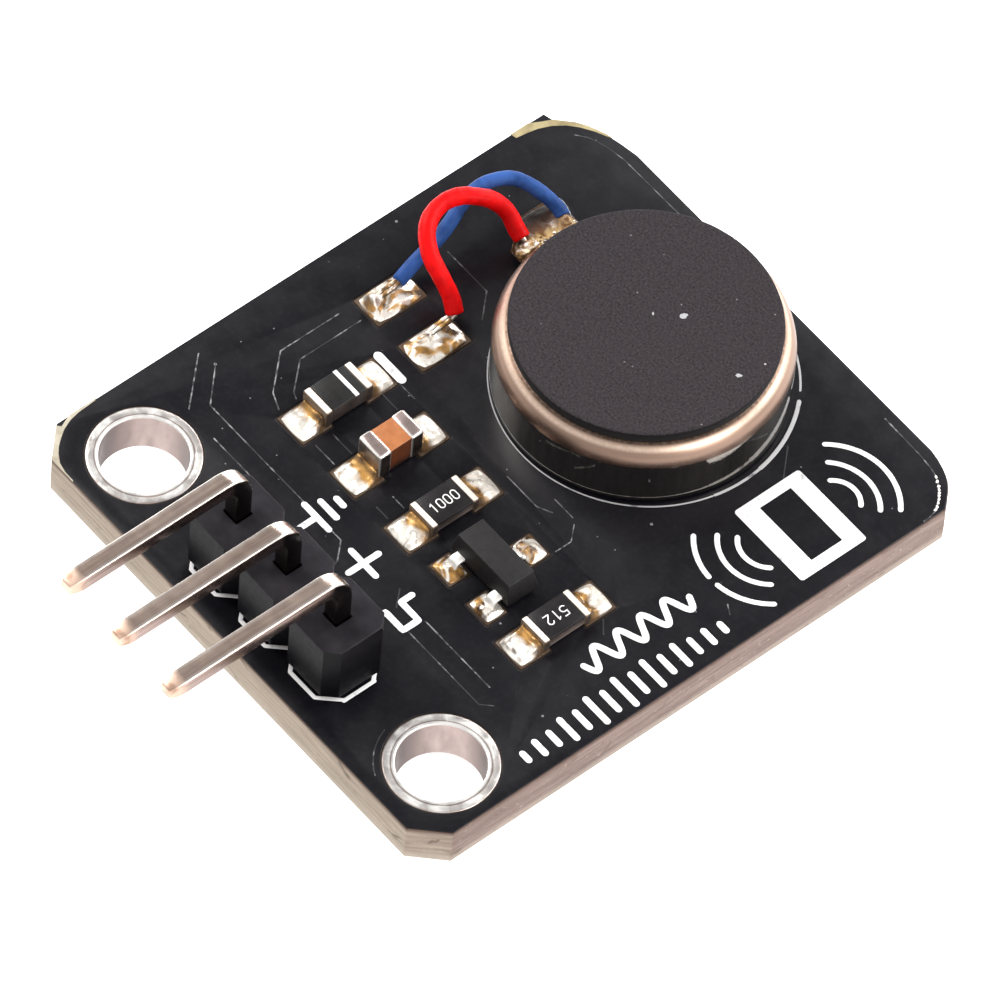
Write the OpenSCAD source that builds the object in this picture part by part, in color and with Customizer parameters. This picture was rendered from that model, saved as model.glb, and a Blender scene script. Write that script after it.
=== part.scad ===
// Vibration motor module: a coin vibration motor glued to a small circuit board with a three-pin header.
// Origin: midway between the two mounting holes, on the underside of the bare board.
// +X runs along the row of pins, +Y from the pins to the motor, +Z up out of the component side.

/* [Board] */
// Width of the board along X
board_w = 20.3; // [19.8:0.1:22]
// Length of the board along Y
board_l = 23.05; // [22.6:0.05:26]
// Thickness of the bare board
board_t = 1.6; // [1.2:0.1:2]
// How far the board's middle lies from the middle of the holes, along X
board_shift_x = -0.2; // [-0.3:0.05:0]
// Distance from the header edge to the line of the mounting holes
header_edge = 2.5; // [2.3:0.05:3]
// Legs of the straight cuts at the two front corners, left and right
front_cuts = [1.03, 1.07]; // [0.5:0.01:1.5]
// Thickness of the lacquer on each side
mask_t = 0.03; // [0.02:0.005:0.05]
// Thickness of the copper pads and rings
copper_t = 0.04; // [0.035:0.005:0.06]

/* [Mounting holes] */
// Distance between the two mounting holes
hole_spacing = 15.24; // [15:0.01:15.5]
// Clear radius of a mounting hole
hole_r = 1.5; // [1.3:0.05:1.6]
// Outer radius of the plated ring round a mounting hole
ring_r = 1.93; // [1.8:0.01:2.1]

/* [Header] */
// Distance between neighbouring pins
pin_pitch = 2.54; // [2:0.27:2.54]
// Side of the square pins
pin_side = 0.64; // [0.5:0.02:0.7]
// Row of pins along Y
header_y = -0.33; // [-0.5:0.01:0]
// Gap under the plastic strip, kept by its feet
header_lift = 0.3; // [0.2:0.05:0.5]
// Height of the plastic strip
header_h = 2.54; // [2:0.01:3]
// Chamfer on the corners of each lobe of the strip
lobe_cut = 0.42; // [0.3:0.02:0.6]
// Top of the horizontal pins above the board's underside
pin_top = 6.85; // [6.5:0.05:7.5]
// Reach of the horizontal pins beyond the pin row
pin_reach = 7.2; // [5:0.01:8]
// Centreline radius of the bend in a pin
pin_bend = 0.8; // [0.6:0.05:1]
// Length of the pin tails below the board
tail = 1.1; // [0.8:0.1:1.6]
// Radius of the pin holes inside their plating
pin_hole_r = 0.5; // [0.47:0.01:0.55]
// Wall of the plating in the pin holes
plating_t = 0.05; // [0.03:0.01:0.08]

/* [Motor] */
// Motor axis along X
motor_x = -0.15; // [-0.3:0.05:0.1]
// Motor axis along Y
motor_y = 14.85; // [14.6:0.05:15.1]
// Outer radius of the steel can
can_r = 5; // [4.9:0.05:5.1]
// Height of the motor, without its pads
motor_h = 2.65; // [2.6:0.05:3]
// Sheet thickness of the can
can_wall = 0.2; // [0.15:0.01:0.25]
// Radius of the rounded shoulder of the can
shoulder_r = 0.85; // [0.3:0.05:1]
// Radius of the foam pad on top
foam_r = 4.54; // [4:0.02:4.6]
// Thickness of the foam pad
foam_t = 0.4; // [0.2:0.01:0.5]
// Thickness of the glue disc below the motor
glue_t = 0.1; // [0.05:0.01:0.15]
// Radius of the fixed steel shaft
shaft_r = 0.4; // [0.35:0.01:0.45]
// Radial running clearance of the rotor's bearing on the shaft
running_gap = 0.03; // [0.02:0.01:0.05]

/* [Rotor] */
// Outer radius of the rotor
rotor_r = 4.3; // [4:0.05:4.4]
// Outer radius of a voice coil
coil_r = 1.35; // [1.2:0.05:1.4]
// Distance of the coils from the axis
coil_offset = 2.75; // [2.7:0.05:2.8]
// Half the angle between the two coils, seen from the axis
coil_half_angle = 50; // [48:1:52]
// Half the angle that the counterweight covers
weight_half_angle = 18; // [10:1:19]

/* [Components] */
// Middle of the row of components along Y
row_y = 6.35; // [6.2:0.05:6.5]
// Diode along X
diode_x = -5.45; // [-5.6:0.05:-5.3]
// Capacitor along X
capacitor_x = -2.75; // [-2.8:0.05:-2.6]
// Series resistor along X
series_resistor_x = 0.02; // [-0.1:0.02:0.1]
// Transistor along X
transistor_x = 2.9; // [2.9:0.05:3.1]
// Middle of the transistor's body along Y
transistor_y = 6.1; // [6.05:0.05:6.2]
// Base resistor along X
base_resistor_x = 5.72; // [5.6:0.02:5.8]
// Length of a chip component along Y
chip_l = 2; // [1.9:0.05:2.1]
// Width of a chip component along X
chip_w = 1.25; // [1.1:0.05:1.3]
// Width and length of the capacitor
capacitor_size = [1.15, 1.9]; // [1.1:0.05:2.1]
// Height of the diode
diode_h = 0.75; // [0.6:0.05:0.9]
// Height of the capacitor
capacitor_h = 1.2; // [0.8:0.05:1.3]
// Height of a resistor
resistor_h = 0.5; // [0.4:0.05:0.6]

/* [Motor leads] */
// Outer diameter of a lead's insulation
lead_d = 0.6; // [0.5:0.02:0.7]
// Outer diameter of the blue lead's insulation, which is thinner
blue_lead_d = 0.5; // [0.4:0.02:0.6]
// Diameter of a lead's bare end
core_d = 0.3; // [0.2:0.02:0.36]
// Row of the two lead pads along Y
lead_pad_y = 10.35; // [10.2:0.05:10.5]

/* [Hidden] */
$fn = 96;
small = 0.01;

// Heights above the underside of the board
mask_top = board_t + mask_t;
pad_top = board_t + copper_t;
chip_z = pad_top + 0.02;
motor_z = mask_top + glue_t;
plate_top = motor_z + 0.2;
boss_top = plate_top + 0.67;
flex_top = plate_top + 0.1;
magnet_top = flex_top + 0.6;
can_top = motor_z + motor_h;
can_inner_top = can_top - can_wall;
bearing_z = boss_top + 0.13;
bearing_top = can_inner_top - 0.13;
segment_z = bearing_z + 0.13;
commutator_z = segment_z + 0.04;
rotor_z = commutator_z + 0.1;
rotor_top = rotor_z + 1;

// Board and pads
board_x0 = board_shift_x - board_w / 2;
board_x1 = board_shift_x + board_w / 2;
board_y0 = -header_edge;
board_y1 = board_l - header_edge;
// Milled back corners, as distances from the sharp corner along X and Y. The left one keeps a small tip
BACK_RIGHT = [[0, 1.18], [0.46, 0.67], [0.83, 0.37], [1.3, 0.17], [2.07, 0]];
BACK_LEFT = [[3.2, 0], [1.95, 0.25], [1.29, 0.52], [0.9, 0.77], [0.38, 1.28], [0, 1.38]];
pin_drill_r = pin_hole_r + plating_t;
pin_ring_r = 0.85;
mask_gap = 0.08;
chip_pad = [1.32, 1.25];
chip_pad_y = 1.375;
lead_pad = [1.3, 2.05];
lead_pad_x = [-7.6, -5.3];
transistor_pad = [1.05, 0.85];
transistor_pads = [[-0.95, -1.35], [0.95, -1.35], [0.05, 1.2]];
CHIPS_X = [diode_x, capacitor_x, series_resistor_x, base_resistor_x];
// Every pad as [x, y, width, length]
PADS = concat(
    [for (x = CHIPS_X, side = [-1, 1]) [x, row_y + side * chip_pad_y, chip_pad[0], chip_pad[1]]],
    [for (p = transistor_pads) [transistor_x + p[0], row_y + p[1], transistor_pad[0], transistor_pad[1]]],
    [for (x = lead_pad_x) [x, lead_pad_y, lead_pad[0], lead_pad[1]]]
);

// Chip components
terminal_l = 0.28;
capacitor_terminal_l = 0.55;
terminal_t = 0.05;
coating_t = 0.03;

// Transistor
transistor_body_size = [2.9, 1.3];
transistor_top_size = [2.6, 1.06];
transistor_lift = 0.08;
transistor_middle = 0.27;
transistor_h = 1.0;
transistor_lead_w = 0.42;
transistor_lead_t = 0.12;

// Motor
tab_y = [14.5, 17.05];
tab_end_x = -7.35;
magnet_r = [2, 4.4];
commutator_r = [0.9, 2];
brush_w = 0.3;
coil_bore_r = 0.5;
weight_inner_r = 2.4;

// Routes of the insulated leads, from their pad on the board to the motor's tab
RED_ROUTE = [
    [-5.58, 11.4, 2.1], [-5.98, 11.54, 2.5], [-6.49, 11.52, 3.05], [-7.16, 11.58, 3.5], [-7.76, 11.9, 3.8],
    [-8.15, 12.4, 3.9], [-8.33, 13.07, 3.9], [-8.25, 13.74, 3.8], [-7.97, 14.24, 3.65], [-7.69, 14.67, 3.4],
    [-7.29, 14.98, 2.95], [-6.75, 15.02, 2.45]
];
BLUE_ROUTE = [
    [-7.75, 10.78, 2.05], [-7.91, 11.69, 2.3], [-7.98, 12.55, 2.6], [-8.17, 13.32, 2.85], [-8.44, 14.1, 3.05],
    [-8.52, 14.83, 3.15], [-8.39, 15.35, 3.2], [-8.13, 15.87, 3.15], [-7.75, 16.21, 3], [-7.35, 16.43, 2.8],
    [-6.94, 16.6, 2.6], [-6.64, 16.7, 2.4]
];
// Where each lead's bare end lies in its solder, on the board and on the tab
RED_ENDS = [[-5.62, 10.3, 1.8], [-6.2, 15.05, 2.2]];
BLUE_ENDS = [[-7.78, 9.9, 1.8], [-6.1, 16.55, 2.2]];
TAB_JOINTS = [[-6.2, 15.05], [-6.05, 16.5]];

// ---------- Shared shapes ----------

// Outline of the board: straight cuts at the front corners, milled curves at the back ones
module board_outline(inset = 0) {
    outline = concat(
        [[board_x0 + front_cuts[0], board_y0], [board_x1 - front_cuts[1], board_y0],
            [board_x1, board_y0 + front_cuts[1]]],
        [for (p = BACK_RIGHT) [board_x1 - p[0], board_y1 - p[1]]],
        [for (p = BACK_LEFT) [board_x0 + p[0], board_y1 - p[1]]],
        [[board_x0, board_y0 + front_cuts[0]]]
    );
    middle = [board_x0 + board_w / 2, board_y0 + board_l / 2];
    share = [1 - 2 * inset / board_w, 1 - 2 * inset / board_l];
    polygon([for (p = outline) [for (i = [0, 1]) middle[i] + (p[i] - middle[i]) * share[i]]]);
}

module at_pins() {
    for (i = [-1:1]) translate([i * pin_pitch, header_y]) children();
}

module at_mounting_holes() {
    for (side = [-1, 1]) translate([side * hole_spacing / 2, 0]) children();
}

module at_motor(z = 0) {
    translate([motor_x, motor_y, z]) children();
}

module block(size, z0, z1) {
    translate([-size[0] / 2, -size[1] / 2, z0]) cube([size[0], size[1], z1 - z0]);
}

module ring(r_in, r_out, z0, z1) {
    translate([0, 0, z0]) difference() {
        cylinder(r = r_out, h = z1 - z0);
        translate([0, 0, -1]) cylinder(r = r_in, h = z1 - z0 + 2);
    }
}

// Flat sector between two radii and two angles that are less than 180 degrees apart
module sector(r_in, r_out, a0, a1, z0, z1) {
    reach = 2 * r_out;
    intersection() {
        ring(r_in, r_out, z0, z1);
        translate([0, 0, z0 - 1]) linear_extrude(z1 - z0 + 2)
            polygon([[0, 0], [reach * cos(a0), reach * sin(a0)],
                [reach * cos((a0 + a1) / 2), reach * sin((a0 + a1) / 2)],
                [reach * cos(a1), reach * sin(a1)]]);
    }
}

// Block whose four sides lean inwards towards its top
module drafted_block(base, top, h) {
    intersection() {
        rotate([90, 0, 0]) linear_extrude(2 * base[1], center = true)
            polygon([[-base[0] / 2, 0], [base[0] / 2, 0], [top[0] / 2, h], [-top[0] / 2, h]]);
        rotate([90, 0, 90]) linear_extrude(2 * base[0], center = true)
            polygon([[-base[1] / 2, 0], [base[1] / 2, 0], [top[1] / 2, h], [-top[1] / 2, h]]);
    }
}

// ---------- Board ----------

module circuit_board() {
    color("tan") linear_extrude(board_t) difference() {
        board_outline();
        at_mounting_holes() circle(hole_r);
        at_pins() circle(pin_drill_r);
    }
}

module solder_mask(pads) {
    linear_extrude(mask_t) difference() {
        board_outline(0.1);
        at_mounting_holes() circle(ring_r + mask_gap);
        at_pins() circle(pin_ring_r + mask_gap);
        for (p = pads) translate([p[0], p[1]])
            square([p[2] + 2 * mask_gap, p[3] + 2 * mask_gap], center = true);
    }
}

module solder_mask_top() {
    color("#242428") translate([0, 0, board_t]) solder_mask(PADS);
}

module solder_mask_bottom() {
    color("#242428") translate([0, 0, -mask_t]) solder_mask([]);
}

// The ring round a hole on each side of the board
module hole_rings(r, outer) {
    ring(r, outer, board_t, board_t + copper_t);
    ring(r, outer, -copper_t, 0);
}

module mounting_ring_left() {
    color("silver") translate([-hole_spacing / 2, 0]) hole_rings(hole_r, ring_r);
}

module mounting_ring_right() {
    color("silver") translate([hole_spacing / 2, 0]) hole_rings(hole_r, ring_r);
}

// The barrels in the three pin holes, and their rings
module pin_hole_plating() {
    color("silver") at_pins() {
        hole_rings(pin_hole_r, pin_ring_r);
        ring(pin_hole_r, pin_hole_r + plating_t, 0, board_t);
    }
}

module component_pads() {
    color("silver") for (p = PADS) translate([p[0], p[1]]) block([p[2], p[3]], board_t, pad_top);
}

// ---------- Header ----------

module lobe(h) {
    side = pin_pitch;
    cut = side - 2 * lobe_cut;
    linear_extrude(h) intersection() {
        square(side, center = true);
        rotate(45) square((side + cut) / sqrt(2), center = true);
    }
}

// Plastic strip with one lobe to a pin and two feet between the pins
module header_housing() {
    z = mask_top + header_lift;
    color("#26262a") difference() {
        union() {
            at_pins() translate([0, 0, z]) lobe(header_h);
            for (side = [-1, 1]) translate([side * pin_pitch / 2, header_y])
                block([0.6, 1.4], mask_top, z + 0.2);
        }
        at_pins() block([pin_side, pin_side], 0, pin_top);
    }
}

// Square pin with a quarter bend from the board to the horizontal, and a tapered tip at each end
module header_pin() {
    half = pin_side / 2;
    tip = 0.36;
    taper = 0.6;
    axis_z = pin_top - half;
    bend_z = axis_z - pin_bend;
    foot = [[-half, bend_z], [half, bend_z], [half, -tail + 0.45], [tip / 2, -tail], [-tip / 2, -tail],
        [-half, -tail + 0.45]];
    reach = [[half, -pin_bend], [half, -pin_reach + taper], [tip / 2, -pin_reach], [-tip / 2, -pin_reach],
        [-half, -pin_reach + taper], [-half, -pin_bend]];
    translate([0, header_y]) {
        intersection() {
            rotate([90, 0, 0]) linear_extrude(pin_side, center = true) polygon(foot);
            rotate([90, 0, 90]) linear_extrude(pin_side, center = true) polygon(foot);
        }
        translate([0, 0, axis_z]) intersection() {
            linear_extrude(pin_side, center = true) polygon(reach);
            rotate([0, 90, 0]) linear_extrude(pin_side, center = true) polygon(reach);
        }
        translate([0, -pin_bend, bend_z]) rotate([90, 0, 90]) rotate_extrude(angle = 90)
            translate([pin_bend, 0]) square(pin_side, center = true);
    }
}

module header_pin_ground() {
    color("#d8cfc0") translate([-pin_pitch, 0]) header_pin();
}

module header_pin_supply() {
    color("#d8cfc0") header_pin();
}

module header_pin_signal() {
    color("#d8cfc0") translate([pin_pitch, 0]) header_pin();
}

// Solder cones round the pin tails under the board
module header_solder() {
    color("silver") at_pins() difference() {
        rotate_extrude() difference() {
            translate([0, -copper_t - 0.55]) square([pin_ring_r - 0.05, 0.55]);
            translate([1.15, -copper_t - 0.75]) circle(0.75);
        }
        block([pin_side, pin_side], -2, 1);
    }
}

// ---------- Chip components ----------

// The two wrap-round end caps of a chip component
module chip_terminals(x, h, size = [chip_w, chip_l], cap_l = terminal_l) {
    color("gainsboro") difference() {
        for (side = [-1, 1]) translate([x, row_y + side * (size[1] - cap_l) / 2])
            block([size[0], cap_l], chip_z, chip_z + h);
        chip_core(x, h, size);
    }
}

// The ceramic or epoxy body of a chip component, inside its end caps
module chip_core(x, h, size = [chip_w, chip_l]) {
    translate([x, row_y])
        block([size[0] - 2 * terminal_t, size[1] - 2 * terminal_t],
            chip_z + terminal_t, chip_z + h - terminal_t);
}

module chip_coating(x, h) {
    translate([x, row_y])
        block([chip_w - 2 * terminal_t, chip_l - 2 * terminal_l], chip_z + h - terminal_t,
            chip_z + h - terminal_t + coating_t);
}

// Solder under the end caps and a fillet up each end of a chip component
module chip_solder(x, h, size = [chip_w, chip_l], cap_l = terminal_l) {
    half = size[1] / 2;
    run = chip_pad_y + chip_pad[1] / 2 - half - 0.06;
    rise = min(0.55, 0.8 * h);
    color("silver") for (turn = [0, 180]) translate([x, row_y]) rotate(turn) {
        translate([0, 0, pad_top]) rotate([90, 0, 90]) linear_extrude(chip_pad[0] - 0.12, center = true)
            polygon([[-half, 0], [-half, 0.02 + rise], [-half - 0.3 * run, 0.02 + 0.45 * rise],
                [-half - run, 0.04], [-half - run, 0]]);
        translate([0, -half + cap_l / 2 - small]) block([size[0] - 0.1, cap_l], pad_top, chip_z);
    }
}

module diode_body() {
    color("#2b2828") chip_core(diode_x, diode_h);
}

module diode_terminals() {
    chip_terminals(diode_x, diode_h);
}

module diode_solder() {
    chip_solder(diode_x, diode_h);
}

module capacitor_body() {
    color("#d9914f") chip_core(capacitor_x, capacitor_h, capacitor_size);
}

module capacitor_terminals() {
    chip_terminals(capacitor_x, capacitor_h, capacitor_size, capacitor_terminal_l);
}

module capacitor_solder() {
    chip_solder(capacitor_x, capacitor_h, capacitor_size, capacitor_terminal_l);
}

module series_resistor_body() {
    color("white") chip_core(series_resistor_x, resistor_h);
}

module series_resistor_coating() {
    color("#2b2828") chip_coating(series_resistor_x, resistor_h);
}

module series_resistor_terminals() {
    chip_terminals(series_resistor_x, resistor_h);
}

module series_resistor_solder() {
    chip_solder(series_resistor_x, resistor_h);
}

module base_resistor_body() {
    color("white") chip_core(base_resistor_x, resistor_h);
}

module base_resistor_coating() {
    color("#2b2828") chip_coating(base_resistor_x, resistor_h);
}

module base_resistor_terminals() {
    chip_terminals(base_resistor_x, resistor_h);
}

module base_resistor_solder() {
    chip_solder(base_resistor_x, resistor_h);
}

// ---------- Transistor ----------

module at_transistor_leads() {
    for (p = transistor_pads) translate([transistor_x + p[0], transistor_y])
        rotate(p[1] < 0 ? 0 : 180) children();
}

// Moulded body whose sides lean in above and below the plane of its leads
module transistor_body() {
    z = chip_z + transistor_lift;
    color("#3a3838") translate([transistor_x, transistor_y, z + transistor_middle]) {
        drafted_block(transistor_body_size, transistor_top_size, transistor_h - transistor_middle);
        mirror([0, 0, 1]) drafted_block(transistor_body_size, transistor_top_size, transistor_middle);
    }
}

// Three gull-wing leads
module transistor_leads() {
    t = transistor_lead_t;
    y0 = -transistor_body_size[1] / 2;
    shoulder = chip_z + transistor_lift + transistor_middle + t / 2;
    color("gainsboro") at_transistor_leads() difference() {
        rotate([90, 0, 90]) linear_extrude(transistor_lead_w, center = true)
            polygon([[y0 + 0.1, shoulder], [y0 - 0.22, shoulder], [y0 - 0.34, shoulder - 0.1],
                [y0 - 0.42, chip_z + t], [y0 - 0.72, chip_z + t], [y0 - 0.72, chip_z], [y0 - 0.36, chip_z],
                [y0 - 0.26, chip_z + 0.1], [y0 - 0.2, shoulder - t], [y0 + 0.1, shoulder - t]]);
        translate([0, 0, shoulder - t / 2]) block(transistor_body_size, -1, 1);
    }
}

module transistor_solder() {
    y0 = -transistor_body_size[1] / 2;
    color("silver") difference() {
        for (p = transistor_pads) translate([transistor_x + p[0], row_y + p[1], pad_top])
            drafted_block([transistor_pad[0] - 0.15, transistor_pad[1] - 0.1],
                [transistor_lead_w + 0.1, 0.4], 0.2);
        at_transistor_leads() translate([0, y0 - 0.49]) block([transistor_lead_w, 0.46], chip_z, 3);
    }
}

// ---------- Motor, fixed parts ----------

module motor_adhesive_disc() {
    color("#c8c2b0") at_motor() ring(0.5, can_r - 0.6, mask_top, motor_z);
}

// Base plate with the boss that carries the shaft and the lower washer
module motor_base_plate() {
    color("silver") at_motor() {
        ring(shaft_r, can_r - can_wall, motor_z, plate_top);
        ring(shaft_r, 0.85, plate_top - small, boss_top);
    }
}

// Drawn steel cup, open below, with a slot for the flexible circuit's tab
module motor_can() {
    r_in = can_r - can_wall;
    color("#cbbfb2") difference() {
        at_motor(motor_z) rotate_extrude() difference() {
            union() {
                square([can_r, motor_h - shoulder_r]);
                square([can_r - shoulder_r, motor_h]);
                translate([can_r - shoulder_r, motor_h - shoulder_r]) circle(shoulder_r);
            }
            translate([-1, -1]) square([1 + r_in, 1 + motor_h - shoulder_r]);
            translate([-1, -1]) square([1 + can_r - shoulder_r, 1 + motor_h - can_wall]);
            translate([can_r - shoulder_r, motor_h - shoulder_r]) circle(shoulder_r - can_wall);
            translate([-1, -1]) square([1 + shaft_r, 2 + motor_h]);
        }
        translate([tab_end_x, tab_y[0] - 0.1, plate_top - 0.02])
            cube([motor_x - tab_end_x - 3, tab_y[1] - tab_y[0] + 0.2, 0.25]);
    }
}

module motor_foam_pad() {
    color("#4c484b") at_motor(can_top) cylinder(r = foam_r, h = foam_t);
}

module motor_shaft() {
    color("gainsboro") at_motor(motor_z) cylinder(r = shaft_r, h = motor_h);
}

module ring_magnet() {
    color("#55585c") at_motor() ring(magnet_r[0], magnet_r[1], flex_top, magnet_top);
}

// Flexible circuit under the magnet, with the tab that the leads are soldered to
module motor_flex_circuit() {
    color("#a9702a") difference() {
        translate([0, 0, plate_top]) linear_extrude(flex_top - plate_top) union() {
            translate([motor_x, motor_y]) circle(4.5);
            polygon([[motor_x - 1, tab_y[0]], [tab_end_x + 0.9, tab_y[0]], [tab_end_x, tab_y[0] + 1.1],
                [tab_end_x, tab_y[1] - 0.2], [tab_end_x + 0.2, tab_y[1]], [motor_x - 1, tab_y[1]]]);
        }
        at_motor() cylinder(r = 0.87, h = 4);
    }
}

// Leaf spring from the flexible circuit up to just under the commutator
module brush(angle) {
    t = 0.06;
    tip = segment_z - 0.03;
    at_motor() rotate(angle) rotate([90, 0, 0]) linear_extrude(brush_w, center = true)
        polygon([[1.9, flex_top], [1.9, flex_top + t], [1.75, flex_top + t], [1.55, tip - 0.05], [1.45, tip],
            [1.3, tip], [1.3, tip - t], [1.42, tip - t], [1.5, tip - 0.1], [1.7, flex_top]]);
}

module brush_positive() {
    color("gold") brush(45);
}

module brush_negative() {
    color("gold") brush(-45);
}

module thrust_washer_lower() {
    color("#3f7a4a") at_motor() ring(shaft_r + 0.02, 0.8, boss_top, boss_top + 0.1);
}

module thrust_washer_upper() {
    color("#3f7a4a") at_motor() ring(shaft_r + 0.02, 0.8, can_inner_top - 0.1, can_inner_top);
}

// ---------- Rotor ----------

module at_coils() {
    for (side = [-1, 1]) rotate(90 + side * coil_half_angle) translate([coil_offset, 0]) children();
}

module rotor_bearing() {
    color("goldenrod") at_motor() ring(shaft_r + running_gap, 0.9, bearing_z, bearing_top);
}

// Half disc of moulded resin that holds the coils and the counterweight
module rotor_frame() {
    color("#2c5d8f") at_motor() difference() {
        union() {
            ring(0.9, 1.45, rotor_z, rotor_top);
            sector(0.9, rotor_r, 0, 180, rotor_z, rotor_top);
        }
        at_coils() translate([0, 0, rotor_z - 1]) cylinder(r = coil_r, h = 4);
        weight_sector(1);
    }
}

module weight_sector(over = 0) {
    sector(weight_inner_r, rotor_r + over, 90 - weight_half_angle, 90 + weight_half_angle, rotor_z - over,
        rotor_top + over);
}

module rotor_coil(side) {
    at_motor() rotate(90 + side * coil_half_angle) translate([coil_offset, 0])
        ring(coil_bore_r, coil_r, rotor_z + 0.1, rotor_top - 0.1);
}

module rotor_coil_left() {
    color("#b5622d") rotor_coil(1);
}

module rotor_coil_right() {
    color("#b5622d") rotor_coil(-1);
}

module rotor_counterweight() {
    color("#6d6f73") at_motor() weight_sector();
}

module commutator_disc() {
    color("#3c7a50") at_motor() ring(commutator_r[0], commutator_r[1], commutator_z, rotor_z);
}

module commutator_segments() {
    color("gold") at_motor() for (i = [0:2])
        sector(commutator_r[0] + 0.15, commutator_r[1] - 0.1, i * 120 + 4, i * 120 + 116,
            segment_z, commutator_z);
}

// ---------- Leads ----------

function unit(v) = v / norm(v);

// Point at share t of the way from route point i to the next, on a smooth curve through them all
function curve_point(p, i, t) =
    let (a = p[max(i - 1, 0)], b = p[i], c = p[i + 1], d = p[min(i + 2, len(p) - 1)])
    0.5 * (2 * b + (c - a) * t + (2 * a - 5 * b + 4 * c - d) * t * t + (3 * b - a - 3 * c + d) * t * t * t);

function smooth_route(p) =
    concat([for (i = [0:len(p) - 2], t = [0, 0.5]) curve_point(p, i, t)], [p[len(p) - 1]]);

function along(p, i) = unit(p[min(i + 1, len(p) - 1)] - p[max(i - 1, 0)]);

// Round tube of eight sides swept along a list of points
module tube(p, r) {
    sides = 8;
    points = [for (i = [0:len(p) - 1])
        let (across = unit(cross(along(p, i), [0, 0, 1])), upward = cross(across, along(p, i)))
        for (k = [0:sides - 1]) p[i] + r * (cos(k * 360 / sides) * across + sin(k * 360 / sides) * upward)];
    walls = [for (i = [0:len(p) - 2], k = [0:sides - 1])
        [i * sides + k, i * sides + (k + 1) % sides, (i + 1) * sides + (k + 1) % sides, (i + 1) * sides + k]];
    first = [for (k = [0:sides - 1]) sides - 1 - k];
    last = [for (k = [0:sides - 1]) (len(p) - 1) * sides + k];
    polyhedron(points, concat(walls, [first, last]), convexity = 8);
}

module lead_core(route, ends) {
    tube([ends[0], route[0]], core_d / 2);
    tube([route[len(route) - 1], ends[1]], core_d / 2);
}

module motor_lead_red() {
    color("red") tube(smooth_route(RED_ROUTE), lead_d / 2);
}

module motor_lead_blue() {
    color("royalblue") tube(smooth_route(BLUE_ROUTE), blue_lead_d / 2);
}

module lead_core_red() {
    color("silver") lead_core(RED_ROUTE, RED_ENDS);
}

module lead_core_blue() {
    color("silver") lead_core(BLUE_ROUTE, BLUE_ENDS);
}

// Mounds of solder on the two lead pads
module lead_pad_solder() {
    color("silver") for (x = lead_pad_x) translate([x, lead_pad_y, pad_top])
        drafted_block([lead_pad[0] - 0.1, lead_pad[1] - 0.1], [lead_pad[0] - 0.6, lead_pad[1] - 0.8], 0.35);
}

// Domes of solder on the tab
module tab_solder() {
    color("silver") for (p = TAB_JOINTS) translate([p[0], p[1], flex_top]) intersection() {
        translate([0, 0, -0.35]) sphere(r = 0.65);
        block([2, 2], 0, 1);
    }
}

circuit_board();
solder_mask_top();
solder_mask_bottom();
mounting_ring_left();
mounting_ring_right();
pin_hole_plating();
component_pads();
header_housing();
header_pin_ground();
header_pin_supply();
header_pin_signal();
header_solder();
diode_body();
diode_terminals();
diode_solder();
capacitor_body();
capacitor_terminals();
capacitor_solder();
series_resistor_body();
series_resistor_coating();
series_resistor_terminals();
series_resistor_solder();
base_resistor_body();
base_resistor_coating();
base_resistor_terminals();
base_resistor_solder();
transistor_body();
transistor_leads();
transistor_solder();
motor_adhesive_disc();
motor_base_plate();
motor_can();
motor_foam_pad();
motor_shaft();
ring_magnet();
motor_flex_circuit();
brush_positive();
brush_negative();
thrust_washer_lower();
thrust_washer_upper();
rotor_bearing();
rotor_frame();
rotor_coil_left();
rotor_coil_right();
rotor_counterweight();
commutator_disc();
commutator_segments();
motor_lead_red();
motor_lead_blue();
lead_core_red();
lead_core_blue();
lead_pad_solder();
tab_solder();
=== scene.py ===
"""Looks of the vibration motor module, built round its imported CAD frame. Lengths here are millimetres."""
import math

import bmesh
import bpy
from mathutils import Matrix, Vector, noise


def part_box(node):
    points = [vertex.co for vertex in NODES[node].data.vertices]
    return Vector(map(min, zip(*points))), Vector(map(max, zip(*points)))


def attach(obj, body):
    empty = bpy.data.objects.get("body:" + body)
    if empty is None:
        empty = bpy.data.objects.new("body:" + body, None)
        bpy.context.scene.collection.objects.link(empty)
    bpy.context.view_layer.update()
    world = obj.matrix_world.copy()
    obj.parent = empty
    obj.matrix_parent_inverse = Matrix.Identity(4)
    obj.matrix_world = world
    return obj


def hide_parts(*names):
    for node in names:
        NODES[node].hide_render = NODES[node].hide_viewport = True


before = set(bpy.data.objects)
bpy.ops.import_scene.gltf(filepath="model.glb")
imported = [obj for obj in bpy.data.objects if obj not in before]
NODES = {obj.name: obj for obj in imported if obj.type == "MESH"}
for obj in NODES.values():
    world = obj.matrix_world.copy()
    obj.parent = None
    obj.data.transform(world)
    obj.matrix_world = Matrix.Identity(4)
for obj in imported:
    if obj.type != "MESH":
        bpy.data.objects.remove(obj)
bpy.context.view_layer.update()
MM = 0.001


def box(node):
    """Lowest and highest corner of a CAD node, in millimetres."""
    low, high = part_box(node)
    return low / MM, high / MM


def middle(node):
    low, high = box(node)
    return (low + high) / 2


def half_width(node):
    low, high = box(node)
    return (high.x - low.x) / 2


# ---------------------------------------------------------------- places taken from the frame

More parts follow.
